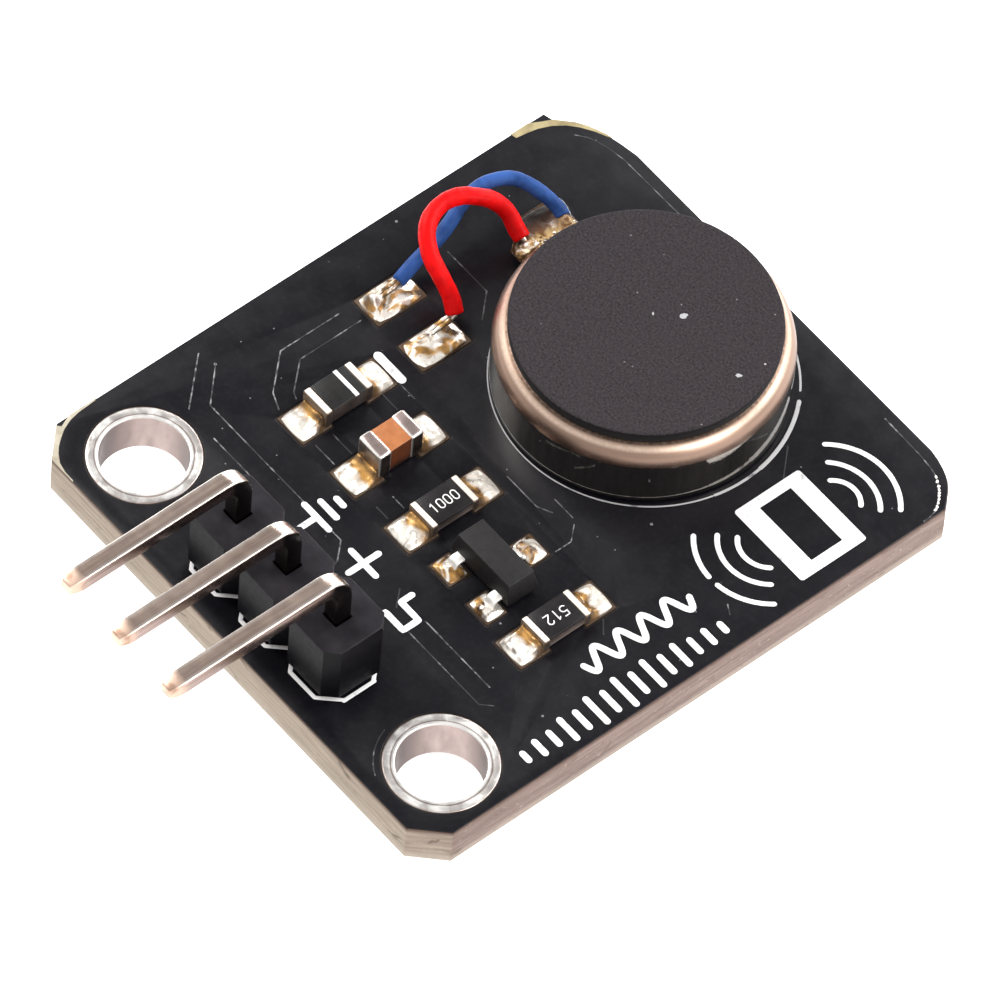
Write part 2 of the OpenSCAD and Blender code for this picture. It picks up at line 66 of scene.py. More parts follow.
BOARD_LOW, BOARD_HIGH = box("circuit_board")
BOARD_TOP = BOARD_HIGH.z
MASK_TOP = box("solder_mask_top")[1].z
MASK_T = MASK_TOP - BOARD_TOP
PAD_TOP = box("component_pads")[1].z
PIN_XS = [middle(n).x for n in ("header_pin_ground", "header_pin_supply", "header_pin_signal")]
HEADER_Y = middle("header_housing").y
PIN_LOW, PIN_HIGH = box("header_pin_supply")
PIN_SIDE = PIN_HIGH.x - PIN_LOW.x
PIN_PITCH = PIN_XS[1] - PIN_XS[0]
MOTOR = middle("motor_can")
FOAM_MARGIN = 0.46  # from the foam pad's rim out to the can's wall
CAN_R = half_width("motor_foam_pad") + FOAM_MARGIN
CAN_BASE, CAN_TOP = (corner.z for corner in box("motor_can"))
HOLES = {side: middle("mounting_ring_" + side) for side in ("left", "right")}
CHIP_Y = middle("diode_body").y


# ---------------------------------------------------------------- mesh helpers

def show(obj):
    bpy.context.scene.collection.objects.link(obj)
    return obj


def piece(name, verts, faces, material, slot=None, replaces=(), angle=40):
    """A mesh piece from points in millimetres. It rides on the board and is smooth up to the angle."""
    mesh = bpy.data.meshes.new(name)
    mesh.from_pydata([(x * MM, y * MM, z * MM) for x, y, z in verts], [], faces)
    bm = bmesh.new()
    bm.from_mesh(mesh)
    bmesh.ops.remove_doubles(bm, verts=bm.verts, dist=1e-8)
    bmesh.ops.recalc_face_normals(bm, faces=bm.faces)
    bm.to_mesh(mesh)
    bm.free()
    obj = show(bpy.data.objects.new(name, mesh))
    mesh.materials.append(material)
    mesh.shade_smooth()
    mesh.set_sharp_from_angle(angle=math.radians(angle))
    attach(obj, "board")
    if replaces:
        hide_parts(*replaces)
    return obj


def join(parts):
    """One list of points and one of faces from several such pairs."""
    verts, faces = [], []
    for part_verts, part_faces in parts:
        start = len(verts)
        verts += part_verts
        faces += [tuple(i + start for i in face) for face in part_faces]
    return verts, faces


def quads(rows, columns, wrap_rows=False, wrap_columns=True):
    """Faces between the points of a grid that is stored row by row."""
    faces = []
    for i in range(rows if wrap_rows else rows - 1):
        near, far = i * columns, (i + 1) % rows * columns
        for j in range(columns if wrap_columns else columns - 1):
            after = (j + 1) % columns
            faces.append((near + j, near + after, far + after, far + j))
    return faces


def arc(centre, radius, start, end, steps=12):
    """Points on an arc, in degrees."""
    turn = [math.radians(start + (end - start) * i / steps) for i in range(steps + 1)]
    return [(centre[0] + radius * math.cos(t), centre[1] + radius * math.sin(t)) for t in turn]


def round_rectangle(low, high, radius, steps=6):
    """Outline of a rectangle with round corners, anticlockwise."""
    (x0, y0), (x1, y1) = low, high
    centres = ((x1 - radius, y1 - radius), (x0 + radius, y1 - radius), (x0 + radius, y0 + radius),
               (x1 - radius, y0 + radius))
    return [p for k, centre in enumerate(centres) for p in arc(centre, radius, 90 * k, 90 * k + 90, steps)]


def circle(centre, radius, steps=96):
    return arc(centre, radius, 0, 360, steps)[:-1]


def plate(outlines, z0, z1, bevel):
    """Flat plate with holes and rounded edges, as points and faces. The first outline is the outer one."""
    curve = bpy.data.curves.new("plate", "CURVE")
    curve.dimensions = "2D"
    curve.fill_mode = "BOTH"
    curve.extrude = ((z1 - z0) / 2 - bevel) * MM
    curve.bevel_depth = bevel * MM
    curve.bevel_resolution = 2
    curve.offset = -bevel * MM
    for outline in outlines:
        spline = curve.splines.new("POLY")
        spline.points.add(len(outline) - 1)
        for point, (x, y) in zip(spline.points, outline):
            point.co = (x * MM, y * MM, 0, 1)
        spline.use_cyclic_u = True
    obj = show(bpy.data.objects.new("plate", curve))
    mesh = obj.evaluated_get(bpy.context.evaluated_depsgraph_get()).to_mesh()
    rise = (z0 + z1) / 2
    verts = [(v.co.x / MM, v.co.y / MM, v.co.z / MM + rise) for v in mesh.vertices]
    faces = [tuple(p.vertices) for p in mesh.polygons]
    bpy.data.objects.remove(obj)
    bpy.data.curves.remove(curve)
    return verts, faces


def lathe(profile, centre, steps=128, wobble=None):
    """Closed ring of revolution round a vertical axis from (radius, height) points."""
    verts = []
    for i in range(steps):
        turn = 2 * math.pi * i / steps
        for radius, height in profile:
            extra = wobble(turn, radius, height) if wobble else 0
            x, y = centre[0] + radius * math.cos(turn), centre[1] + radius * math.sin(turn)
            verts.append((x, y, height + extra))
    return verts, quads(steps, len(profile), wrap_rows=True)


def drafted_block(base, top, z0, z1, radius, centre, segments=3):
    """Block whose sides lean in towards its top, with rounded edges."""
    bm = bmesh.new()
    bmesh.ops.create_cube(bm, size=1)
    for v in bm.verts:
        size = top if v.co.z > 0 else base
        z = z1 if v.co.z > 0 else z0
        v.co = Vector((centre[0] + v.co.x * size[0], centre[1] + v.co.y * size[1], z))
    bmesh.ops.bevel(bm, geom=bm.edges[:], offset=radius, segments=segments, profile=0.5, affect="EDGES")
    verts = [tuple(v.co) for v in bm.verts]
    faces = [tuple(v.index for v in f.verts) for f in bm.faces]
    bm.free()
    return verts, faces


def rounded_block(low, high, radius, segments=3):
    """Block with rounded edges and upright sides."""
    size = (high[0] - low[0], high[1] - low[1])
    centre = ((low[0] + high[0]) / 2, (low[1] + high[1]) / 2)
    return drafted_block(size, size, low[2], high[2], radius, centre, segments)


def sweep(path, section, side_hint):
    """Skin of closed sections carried along a path. section(i, share) gives points (across, up)."""
    points = [Vector(p) for p in path]
    last = len(points) - 1
    across = Vector(side_hint)
    verts = []
    for i, point in enumerate(points):
        tangent = (points[min(i + 1, last)] - points[max(i - 1, 0)]).normalized()
        across = (across - tangent * across.dot(tangent)).normalized()
        upward = across.cross(tangent)
        ring = section(i, i / last)
        verts += [tuple(point + across * a + upward * b) for a, b in ring]
    count = len(ring)
    ends = [tuple(range(count - 1, -1, -1)), tuple(range(last * count, (last + 1) * count))]
    return verts, quads(last + 1, count) + ends


def smooth_route(points, steps=8):
    """Points on a smooth curve through route points."""
    p = [Vector(q) for q in points]
    out = []
    for i in range(len(p) - 1):
        a, b, c, d = p[max(i - 1, 0)], p[i], p[i + 1], p[min(i + 2, len(p) - 1)]
        for k in range(steps):
            t = k / steps
            out.append(0.5 * (2 * b + (c - a) * t + (2 * a - 5 * b + 4 * c - d) * t * t
                              + (3 * b - a - 3 * c + d) * t * t * t))
    return out + [p[-1]]


def waviness(x, y, scale, seed):
    """Smooth noise from about -1 to 1 at a place on the board; scale is features per millimetre."""
    return noise.noise(Vector((x * scale + seed * 7.3, y * scale - seed * 3.1, seed * 1.7)))


def mound(low, high, height, base, seed, steps=30, rough=0.03, corner=0.25):
    """Uneven mound on a rectangle: height(u, v) with u and v from 0 to 1 is its rise over base."""
    verts = []
    for j in range(steps + 1):
        for i in range(steps + 1):
            u, v = i / steps, j / steps
            # A square grid pulled in at its corners gives the rectangle round corners
            a, b = 2 * u - 1, 2 * v - 1
            pull = 1 - corner * (a * a * b * b) * 0.5
            x = (low[0] + high[0]) / 2 + a * pull * (high[0] - low[0]) / 2
            y = (low[1] + high[1]) / 2 + b * pull * (high[1] - low[1]) / 2
            edge = min(1, 6 * min(u, 1 - u, v, 1 - v))
            rise = height(u, v)
            ripple = waviness(x, y, 1.7, seed) + 0.4 * waviness(x, y, 3.6, seed + 5)
            rise += rough * ripple * (0.4 + rise * 2) * edge
            verts.append((x, y, base + max(0.004, rise) * math.sqrt(edge)))
    row = steps + 1
    faces = quads(row, row, wrap_columns=False)
    rim = (list(range(row)) + [j * row + steps for j in range(1, row)]
           + [steps * row + i for i in range(steps - 1, -1, -1)] + [j * row for j in range(steps - 1, 0, -1)])
    start = len(verts)
    verts += [(verts[k][0], verts[k][1], base - 0.01) for k in rim]
    for k in range(len(rim)):
        n = (k + 1) % len(rim)
        faces.append((rim[k], start + k, start + n, rim[n]))
    faces.append(tuple(start + k for k in range(len(rim) - 1, -1, -1)))
    return verts, faces


def blob(centre, radii, seed, rough=0.12, steps=26):
    """Uneven drop: a ball stretched to three radii and rippled."""
    verts = []
    for j in range(1, steps):
        lift = math.pi * j / steps
        for i in range(2 * steps):
            turn = math.pi * i / steps
            d = Vector((math.sin(lift) * math.cos(turn), math.sin(lift) * math.sin(turn), math.cos(lift)))
            swell = 1 + rough * noise.noise(d * 1.6 + Vector((seed, 0, seed * 0.3)))
            swell += 0.4 * rough * noise.noise(d * 4)
            verts.append(tuple(c + a * r * swell for c, a, r in zip(centre, d, radii)))
    row = 2 * steps
    faces = quads(steps - 1, row)
    verts += [(centre[0], centre[1], centre[2] + radii[2]), (centre[0], centre[1], centre[2] - radii[2])]
    top, bottom = len(verts) - 2, len(verts) - 1
    end = (steps - 2) * row
    faces += [(top, (i + 1) % row, i) for i in range(row)]
    faces += [(bottom, end + i, end + (i + 1) % row) for i in range(row)]
    return verts, faces


# ---------------------------------------------------------------- materials

class Shader:
    """A Principled material, with shortcuts for nodes that work in millimetres on the piece itself."""

    def __init__(self, name, **values):
        self.material = bpy.data.materials.new(name)
        self.material.use_nodes = True
        self.tree = self.material.node_tree
        self.bsdf = self.tree.nodes["Principled BSDF"]
        coordinates = self.tree.nodes.new("ShaderNodeTexCoord")
        self.place = coordinates.outputs["Object"]
        self.direction = coordinates.outputs["Normal"]
        for key, value in values.items():
            self.set(key.replace("_", " ").title().replace("Ior", "IOR"), value)

    def put(self, socket, value):
        """Links a socket to another, or sets its value."""
        if isinstance(value, bpy.types.NodeSocket):
            self.tree.links.new(value, socket)
        else:
            colour = socket.type == "RGBA" and isinstance(value, tuple)
            socket.default_value = (*value, 1) if colour else value

    def set(self, name, value):
        self.put(self.bsdf.inputs[name], value)

    def finish(self, colour, roughness, normal):
        self.set("Base Color", colour)
        if roughness is not None:
            self.set("Roughness", roughness)
        self.set("Normal", normal)
        return self.material

    def node(self, kind, inputs=(), **settings):
        made = self.tree.nodes.new(kind)
        for key, value in settings.items():
            setattr(made, key, value)
        for key, value in dict(inputs).items():
            self.put(made.inputs[key], value)
        return made

    def scaled(self, stretch):
        size = [s / MM for s in stretch]
        return self.node("ShaderNodeMapping", {"Vector": self.place, "Scale": size}).outputs["Vector"]

    def noise(self, scale, detail=3.0, stretch=(1, 1, 1), distortion=0.0):
        inputs = {"Vector": self.scaled(stretch), "Scale": scale, "Detail": detail, "Distortion": distortion}
        return self.node("ShaderNodeTexNoise", inputs).outputs["Fac"]

    def vary(self, scale, detail, low, high):
        """Noise that runs from low to high."""
        return self.ramp(self.noise(scale, detail), 0.3, 0.7, low, high)

    def specks(self, scale, size, share):
        """1 on small round specks: size is their radius in cells, share how many cells hold one."""
        cells = self.node("ShaderNodeTexVoronoi", {"Vector": self.scaled((1, 1, 1)), "Scale": scale})
        random = self.node("ShaderNodeSeparateColor", {"Color": cells.outputs["Color"]}).outputs["Red"]
        inside = self.math("LESS_THAN", cells.outputs["Distance"], size)
        return self.times(self.math("LESS_THAN", random, share), inside)

    def math(self, operation, a, b=0.0):
        return self.node("ShaderNodeMath", {0: a, 1: b}, operation=operation).outputs[0]

    def times(self, a, b):
        return self.math("MULTIPLY", a, b)

    def plus(self, a, b):
        return self.math("ADD", a, b)

    def most(self, a, b):
        return self.math("MAXIMUM", a, b)

    def gap(self, a, b):
        return self.math("ABSOLUTE", self.math("SUBTRACT", a, b))

    def sway(self, noise_value, reach):
        """Noise moved to both sides of nought."""
        return self.times(self.math("SUBTRACT", noise_value, 0.5), reach)

    def ramp(self, value, low, high, to_low=0.0, to_high=1.0):
        inputs = {"Value": value, "From Min": low, "From Max": high, "To Min": to_low, "To Max": to_high}
        return self.node("ShaderNodeMapRange", inputs).outputs["Result"]

    def mix(self, share, a, b):
        return self.node("ShaderNodeMix", {0: share, 6: a, 7: b}, data_type="RGBA").outputs[2]

    def axis(self, letter):
        """Place along an axis of the frame, in millimetres."""
        split = self.node("ShaderNodeSeparateXYZ", {"Vector": self.place})
        return self.times(split.outputs[letter], 1 / MM)

    def facing(self, letter):
        """How far a face looks along an axis: 1 ahead, -1 back."""
        return self.node("ShaderNodeSeparateXYZ", {"Vector": self.direction}).outputs[letter]

    def either(self, letter):
        """How far a face looks along an axis, ahead or back."""
        return self.math("ABSOLUTE", self.facing(letter))

    def bump(self, height, distance, strength=1.0, after=None):
        inputs = {"Height": height, "Distance": distance * MM, "Strength": strength}
        if after:
            inputs["Normal"] = after
        return self.node("ShaderNodeBump", inputs).outputs["Normal"]


def darker(colour, share):
    return tuple(c * share for c in colour)


def lacquer():
    """Black solder mask: satin, faintly blue, with fine dust."""
    s = Shader("solder_mask", specular_ior_level=0.27)
    base = s.mix(s.vary(0.5, 4, 0, 1), (0.0030, 0.0028, 0.0046), (0.0046, 0.0042, 0.0064))
    grained = s.mix(s.ramp(s.noise(5.5, 4), 0.50, 0.72, 0, 0.6), base, (0.0100, 0.0092, 0.0122))
    dust = s.most(s.specks(1.1, 0.06, 0.13), s.specks(2.6, 0.07, 0.07))
    colour = s.mix(dust, grained, (0.16, 0.16, 0.18))
    return s.finish(colour, s.vary(1.3, 4, 0.28, 0.36), s.bump(s.noise(3.0, 3), 0.004, 0.5))


def mask_ridge():
    """Thin lacquer over the edge of a copper track: a glossy ridge with grey dots of painted highlight."""
    s = Shader("mask_over_track_edge", roughness=0.3, specular_ior_level=0.8)
    # The grey dots are painted highlight along the ridge.
    grey_glints = s.times(s.ramp(s.noise(0.7, 3), 0.42, 0.56), s.ramp(s.noise(5, 3), 0.42, 0.60))
    colour = s.mix(grey_glints, (0.016, 0.016, 0.020), (0.23, 0.23, 0.24))
    return s.finish(colour, None, s.bump(s.noise(6, 2), 0.01, 0.6))


def ink(name, thin_colour, colour):
    """White printed ink, a little thin in places."""
    s = Shader(name, roughness=0.5)
    inked = s.mix(s.ramp(s.noise(2.4, 4), 0.26, 0.42), thin_colour, colour)
    return s.finish(inked, None, s.bump(s.noise(7, 3), 0.006, 0.4))


def bare_resin():
    """Pale resin where the lacquer was milled away, golden at the back."""
    s = Shader("bare_resin", roughness=0.6)
    golden = s.ramp(s.axis("Y"), 4, 8)
    low = s.mix(golden, (0.30, 0.26, 0.19), (0.20, 0.155, 0.07))
    high = s.mix(golden, (0.46, 0.42, 0.33), (0.37, 0.31, 0.16))
    colour = s.mix(s.ramp(s.noise(2.2, 4), 0.30, 0.65), low, high)
    return s.finish(colour, None, s.bump(s.noise(6, 3), 0.015, 0.6))


def ring_metal():
    """Tinned ring of a mounting hole: bright lip, brownish painted shade in the groove beside it, mottled
    outside.
    """
    s = Shader("ring_metal", metallic=0.85)
    across = s.gap(s.math("ABSOLUTE", s.axis("X")), HOLES["right"].x)
    along = s.axis("Y")
    radius = s.math("SQRT", s.plus(s.times(across, across), s.times(along, along)))
    mottled = s.ramp(s.noise(1.5, 5, distortion=0.5), 0.44, 0.62)
    patches = s.mix(mottled, (0.56, 0.525, 0.505), (0.95, 0.93, 0.90))
    outside = s.mix(s.ramp(radius, 1.86, 1.92, 0, 0.6), patches, (0.30, 0.20, 0.16))
    lip = s.mix(s.ramp(radius, 1.60, 1.62), (0.90, 0.88, 0.85), outside)
    # The dark line in the groove is painted shade.
    groove = s.ramp(s.gap(s.plus(radius, s.sway(s.noise(1.5, 3), 0.09)), 1.645), 0.035, 0.008, 0, 0.8)
    colour = s.mix(groove, lip, (0.22, 0.145, 0.125))
    return s.finish(colour, s.vary(2.5, 4, 0.28, 0.45), s.bump(s.noise(3, 4), 0.02, 0.7))


def laminate():
    """Routed edge of glass-epoxy: streaks along the board, pale fibres, brown scars, a dark line on top,
    painted shade on the faces that look towards +x, and painted floor light towards the bottom.
    """
    s = Shader("laminate", specular_ior_level=0.25)
    fibres = s.noise(1.0, 5, stretch=(5, 5, 18))
    chips = s.noise(1.3, 6, stretch=(1, 1, 1.8), distortion=0.6)
    streak = s.ramp(s.noise(1.0, 6, stretch=(0.45, 0.45, 8)), 0.22, 0.72)
    greenish = s.mix(streak, (0.190, 0.152, 0.118), (0.370, 0.305, 0.240))
    pinkish = s.mix(streak, (0.088, 0.057, 0.047), (0.215, 0.156, 0.134))
    # Faces that look towards +x get a darker, pinker tone: painted shade.
    resin = s.mix(s.ramp(s.facing("X"), 0.55, 0.95), greenish, pinkish)
    height = s.axis("Z")
    # Painted floor light: the edge turns paler towards the bottom.
    painted_light = s.mix(s.ramp(height, 0.42, 0.05, 0, 0.45), resin, (0.46, 0.41, 0.34))
    pale = s.mix(s.ramp(fibres, 0.64, 0.76), painted_light, (0.46, 0.41, 0.35))
    scarred = s.mix(s.ramp(chips, 0.63, 0.71, 0, 0.7), pale, (0.085, 0.055, 0.038))
    under_mask = s.ramp(height, BOARD_TOP - 0.20, BOARD_TOP - 0.06, 0, 0.8)
    lined = s.mix(under_mask, scarred, (0.060, 0.028, 0.020))
    colour = s.mix(s.ramp(s.either("Z"), 0.6, 0.9), lined, (0.020, 0.013, 0.010))
    normal = s.bump(fibres, 0.03, 0.8, s.bump(chips, 0.05, 0.7))
    return s.finish(colour, s.ramp(fibres, 0.3, 0.7, 0.55, 0.8), normal)


def metal(name, colour, low, high, scale=2.2, dents=0.012, stretch=(1, 1, 1), tarnish=None, amount=0.25,
          side=None, end=None, edge=None, metallic=1.0):
    """Plated metal with uneven roughness and fine dents. side, end and edge are painted shading: colours for
    faces by their direction, in place of the light and shade the lamps give them.
    """
    s = Shader(name, metallic=metallic)
    grain = s.noise(scale, 5, stretch=stretch)
    spots = s.ramp(s.noise(scale * 0.7, 6), 0.52, 0.78, 0, amount)
    tint = s.mix(spots, colour, tarnish or darker(colour, 0.55))
    # edge paints the faces that slope away from the top: painted shade when dark, a painted highlight when
    # pale.
    if edge:
        tint = s.mix(s.ramp(s.facing("Z"), 0.985, 0.80), tint, edge)
    # side and end are painted shade on the faces that look along x and along y.
    for letter, dull_and_shaded in (("X", side), ("Y", end)):
        if dull_and_shaded:
            uneven = s.mix(s.ramp(grain, 0.35, 0.65), darker(dull_and_shaded, 0.6), dull_and_shaded)
            tint = s.mix(s.ramp(s.either(letter), 0.72, 0.95), tint, uneven)
    return s.finish(tint, s.ramp(grain, 0.3, 0.7, low, high), s.bump(grain, dents, 0.6))


def solder_metal(name, row=None):
    """Bright solder with dark creases of painted shade, amber with flux beside the component whose row is
    given, and painted shade on its steep slopes.
    """
    s = Shader(name)
    swell = s.noise(1.5, 1, distortion=0.6)
    fine = s.noise(6, 2)
    if row is None:
        amber = s.ramp(s.noise(1.3, 3, distortion=1.0), 0.46, 0.56)
    else:
        near = s.ramp(s.gap(s.axis("Y"), row), 1.55, 0.95, 0, 0.62)
        amber = s.ramp(s.plus(near, s.noise(1.3, 3)), 0.60, 0.80)
    flux = s.mix(s.ramp(s.noise(2.0, 3), 0.35, 0.65), (0.055, 0.028, 0.013), (0.60, 0.32, 0.085))
    dull_and_shaded = s.ramp(s.noise(1.7, 3), 0.58, 0.72, 0, 0.75)
    stained = s.mix(amber, s.mix(dull_and_shaded, (0.95, 0.90, 0.82), (0.46, 0.42, 0.37)), flux)
    shaded = s.mix(s.ramp(s.facing("Z"), 0.80, 0.5, 0, 0.85), stained, (0.085, 0.050, 0.028))
    # The dark crease lines are painted shade.
    crease = s.times(s.ramp(s.gap(swell, 0.50), 0.055, 0.012), s.ramp(s.noise(0.9, 2), 0.54, 0.66, 0, 0.8))
    s.set("Metallic", s.ramp(amber, 0, 1, 0.55, 0.25))
    return s.finish(s.mix(crease, shaded, (0.050, 0.028, 0.016)), s.ramp(fine, 0.3, 0.7, 0.24, 0.40),
                    s.bump(fine, 0.004, 0.4, s.bump(swell, 0.10, 0.8)))


def pin_metal():
    """Tin-plated pin: pinkish sides of painted shade, painted highlights along the edges of its top, coppery
    at its tips, painted shade behind the bend.
    """
    s = Shader("pin_metal", metallic=1.0)
    drawn = s.noise(1.0, 3, stretch=(5, 0.25, 5))
    mottled = s.noise(2.4, 4)
    along_grain = s.ramp(drawn, 0.3, 0.7)
    plated = s.mix(along_grain, (0.65, 0.475, 0.395), (0.95, 0.755, 0.645))
    # Side faces get a darker tone: painted shade.
    sides = s.mix(along_grain, (0.20, 0.135, 0.115), (0.42, 0.31, 0.275))
    # Pale bands along both edges of each pin's top are painted highlights.
    from_middle = s.math("PINGPONG", s.axis("X"), PIN_PITCH / 2)
    edge_glinted = s.mix(s.ramp(from_middle, 0.17, 0.24), plated, (1.0, 0.90, 0.82))
    side_shaded = s.mix(s.ramp(s.either("X"), 0.80, 0.97), edge_glinted, sides)
    length = s.axis("Y")
    tips = s.ramp(s.plus(length, s.times(mottled, 0.4)), PIN_LOW.y + 0.95, PIN_LOW.y + 0.55)
    coppery = s.mix(s.ramp(mottled, 0.48, 0.66), (0.62, 0.44, 0.34), (0.34, 0.205, 0.14))
    tipped = s.mix(s.times(tips, 0.9), side_shaded, coppery)
    behind = s.ramp(length, HEADER_Y - 0.6, HEADER_Y - 0.45)
    deep = s.ramp(s.axis("Z"), PIN_HIGH.z - 0.45, PIN_HIGH.z - 1.0)
    shade = s.times(s.most(s.ramp(s.facing("Z"), 0.80, 0.50), deep), behind)
    colour = s.mix(s.times(shade, 0.96), tipped, (0.022, 0.016, 0.015))
    rough = s.ramp(s.most(tips, s.ramp(mottled, 0.3, 0.7, 0, 0.3)), 0, 1, 0.18, 0.42)
    return s.finish(colour, rough, s.bump(drawn, 0.002, 0.4, s.bump(mottled, 0.008, 0.4)))


def can_metal():
    """Nickel-plated can: satin and warm on its shoulder, where painted shadow lies under the foam's edge, a
    painted highlight runs round it and painted shade falls below that; dark and polished on its wall.
    """
    s = Shader("can_metal", metallic=1.0)
    shoulder = s.ramp(s.axis("Z"), CAN_TOP - 0.90, CAN_TOP - 0.80)
    grain = s.noise(1.0, 5, stretch=(9, 9, 9))
    drawn = s.noise(1.0, 3, stretch=(5, 5, 0.6))
    up = s.facing("Z")
    # Painted shadow under the foam's edge, where the shoulder is nearly flat.
    upper = s.mix(s.ramp(up, 0.88, 0.81), (0.060, 0.040, 0.030), (0.31, 0.21, 0.16))
    # Painted shade where the shoulder turns steep.
    satin = s.mix(s.ramp(up, 0.62, 0.25), upper, (0.22, 0.145, 0.115))
    # A narrow painted highlight band round the shoulder.
    painted_light = s.mix(s.ramp(s.gap(up, 0.75), 0.11, 0.02), satin, (0.66, 0.50, 0.40))
    rim = s.mix(s.ramp(grain, 0.35, 0.7, 0, 0.35), painted_light, (0.30, 0.205, 0.155))
    wall = s.mix(s.ramp(drawn, 0.35, 0.7), (0.34, 0.31, 0.28), (0.44, 0.405, 0.37))
    return s.finish(s.mix(shoulder, wall, rim), s.ramp(shoulder, 0, 1, 0.05, 0.36), s.bump(grain, 0.005, 0.3))


def barrel_metal():
    """Inside of a plated hole: satin, pinkish, with painted shade towards both ends of the side that is seen.
    """
    s = Shader("barrel_metal", metallic=0.85)
    streaks = s.noise(1.0, 4, stretch=(2.5, 2.5, 1.0))
    aside = s.times(s.plus(s.facing("X"), s.facing("Y")), 0.707)
    pinkish = s.mix(s.ramp(streaks, 0.3, 0.7), (0.44, 0.345, 0.325), (0.66, 0.535, 0.505))
    # Painted shade where the wall turns away on either side.
    left = s.mix(s.ramp(aside, 0.15, 0.85, 0, 0.9), pinkish, (0.125, 0.095, 0.090))
    colour = s.mix(s.ramp(aside, -0.45, -0.95, 0, 0.85), left, (0.12, 0.09, 0.08))
    return s.finish(colour, s.ramp(streaks, 0.3, 0.7, 0.32, 0.5), s.bump(streaks, 0.015, 0.6))


def plastic(name, low_colour, high_colour, rough, grain_scale=12.0, grain=0.006, specular=0.5, coat=0.0,
            side=None, foot=None):
    """Moulded plastic or ceramic with a fine grain. side and foot are painted shading for its upright faces
    and for their band just above the board.
    """
    s = Shader(name, specular_ior_level=specular, coat_weight=coat, coat_roughness=0.15)
    grains = s.noise(grain_scale, 4)
    colour = s.mix(s.vary(grain_scale * 0.3, 4, 0, 1), low_colour, high_colour)
    # Upright faces get painted shading; foot is painted shade on the capacitor and a pale band of painted
    # light on the resistor.
    if side:
        dull_and_shaded = s.mix(s.ramp(s.noise(2.4, 4), 0.35, 0.65), darker(side, 0.55), side)
        if foot:
            dull_and_shaded = s.mix(s.ramp(s.axis("Z"), MASK_TOP + 0.30, MASK_TOP + 0.14), dull_and_shaded, foot)
        colour = s.mix(s.ramp(s.either("Z"), 0.5, 0.15), colour, dull_and_shaded)
    return s.finish(colour, s.ramp(grains, 0.3, 0.7, rough - 0.06, rough + 0.06), s.bump(grains, grain, 0.6))


FLAKES = (((0.38, 15.92), 0.09), ((0.47, 16.02), 0.08), ((3.33, 15.83), 0.08), ((-0.23, 15.15), 0.03))


def foam_material():
    """Dark closed-cell foam: matt, grainy, with pale dust and flakes, and painted shade that makes its edge
    black.
    """
    s = Shader("foam", roughness=0.95, specular_ior_level=0.2, sheen_weight=0.03, sheen_roughness=0.5)
    cells = s.noise(13, 5)
    warm = s.mix(s.ramp(cells, 0.30, 0.70), (0.0085, 0.0062, 0.0078), (0.0400, 0.0335, 0.0372))
    even = s.mix(s.vary(1.4, 5, 0, 0.3), warm, (0.0265, 0.0215, 0.0245))
    dust = s.most(s.times(s.specks(3.2, 0.09, 0.12), 0.4), s.specks(0.9, 0.035, 0.3))
    ragged = s.sway(s.noise(4.5, 3), 0.50)
    top = box("motor_foam_pad")[1].z
    for place, size in FLAKES:
        spot = Vector((*place, top)) * MM
        away = s.node("ShaderNodeVectorMath", {0: s.place, 1: spot}, operation="DISTANCE").outputs["Value"]
        flake = s.math("LESS_THAN", s.plus(s.times(away, 1 / MM), ragged), size)
        dust = s.most(dust, flake)
    specked = s.mix(s.times(dust, 0.85), even, (0.40, 0.40, 0.41))
    # Painted shade: the foam's upright edge is made near black.
    colour = s.mix(s.ramp(s.facing("Z"), 0.8, 0.3), specked, (0.0035, 0.0025, 0.0028))
    return s.finish(colour, None, s.bump(cells, 0.02, 0.8))


def insulation(name, low_colour, high_colour):
    """Soft wire insulation, satin and slightly uneven."""
    s = Shader(name, specular_ior_level=0.08)
    colour = s.mix(s.ramp(s.noise(1.6, 3), 0.35, 0.65), low_colour, high_colour)
    return s.finish(colour, s.vary(3.2, 4, 0.36, 0.5), s.bump(s.noise(1.0, 3, stretch=(3, 3, 3)), 0.012, 0.5))


def film(name, colour, transmission, rough=0.18):
    """Translucent film, glue or flux."""
    s = Shader(name, transmission_weight=transmission, ior=1.5, specular_ior_level=0.6)
    cloudy = s.mix(s.ramp(s.noise(2.2, 4), 0.35, 0.65), colour, darker(colour, 0.5))
    return s.finish(cloudy, s.vary(3, 3, rough * 0.6, rough * 1.4), s.bump(s.noise(3.5, 3), 0.02, 0.6))


def tab_glue():
    """Glue over the tab: grey and dark at its outer end, amber towards the can, with golden grains."""
    s = Shader("tab_glue", specular_ior_level=0.35, coat_weight=0.2, coat_roughness=0.2)
    across = s.plus(s.axis("X"), s.sway(s.noise(1.2, 3), 0.8))
    outer = s.mix(s.ramp(across, -6.95, -6.45), (0.030, 0.024, 0.021), (0.100, 0.046, 0.024))
    grains = s.ramp(s.noise(3.0, 3, distortion=0.6), 0.44, 0.60)
    amber = s.mix(grains, (0.17, 0.075, 0.022), (0.52, 0.36, 0.16))
    colour = s.mix(s.ramp(across, -6.45, -6.05), outer, amber)
    return s.finish(colour, s.vary(4, 3, 0.2, 0.4), s.bump(s.noise(2.6, 3), 0.05, 0.8))


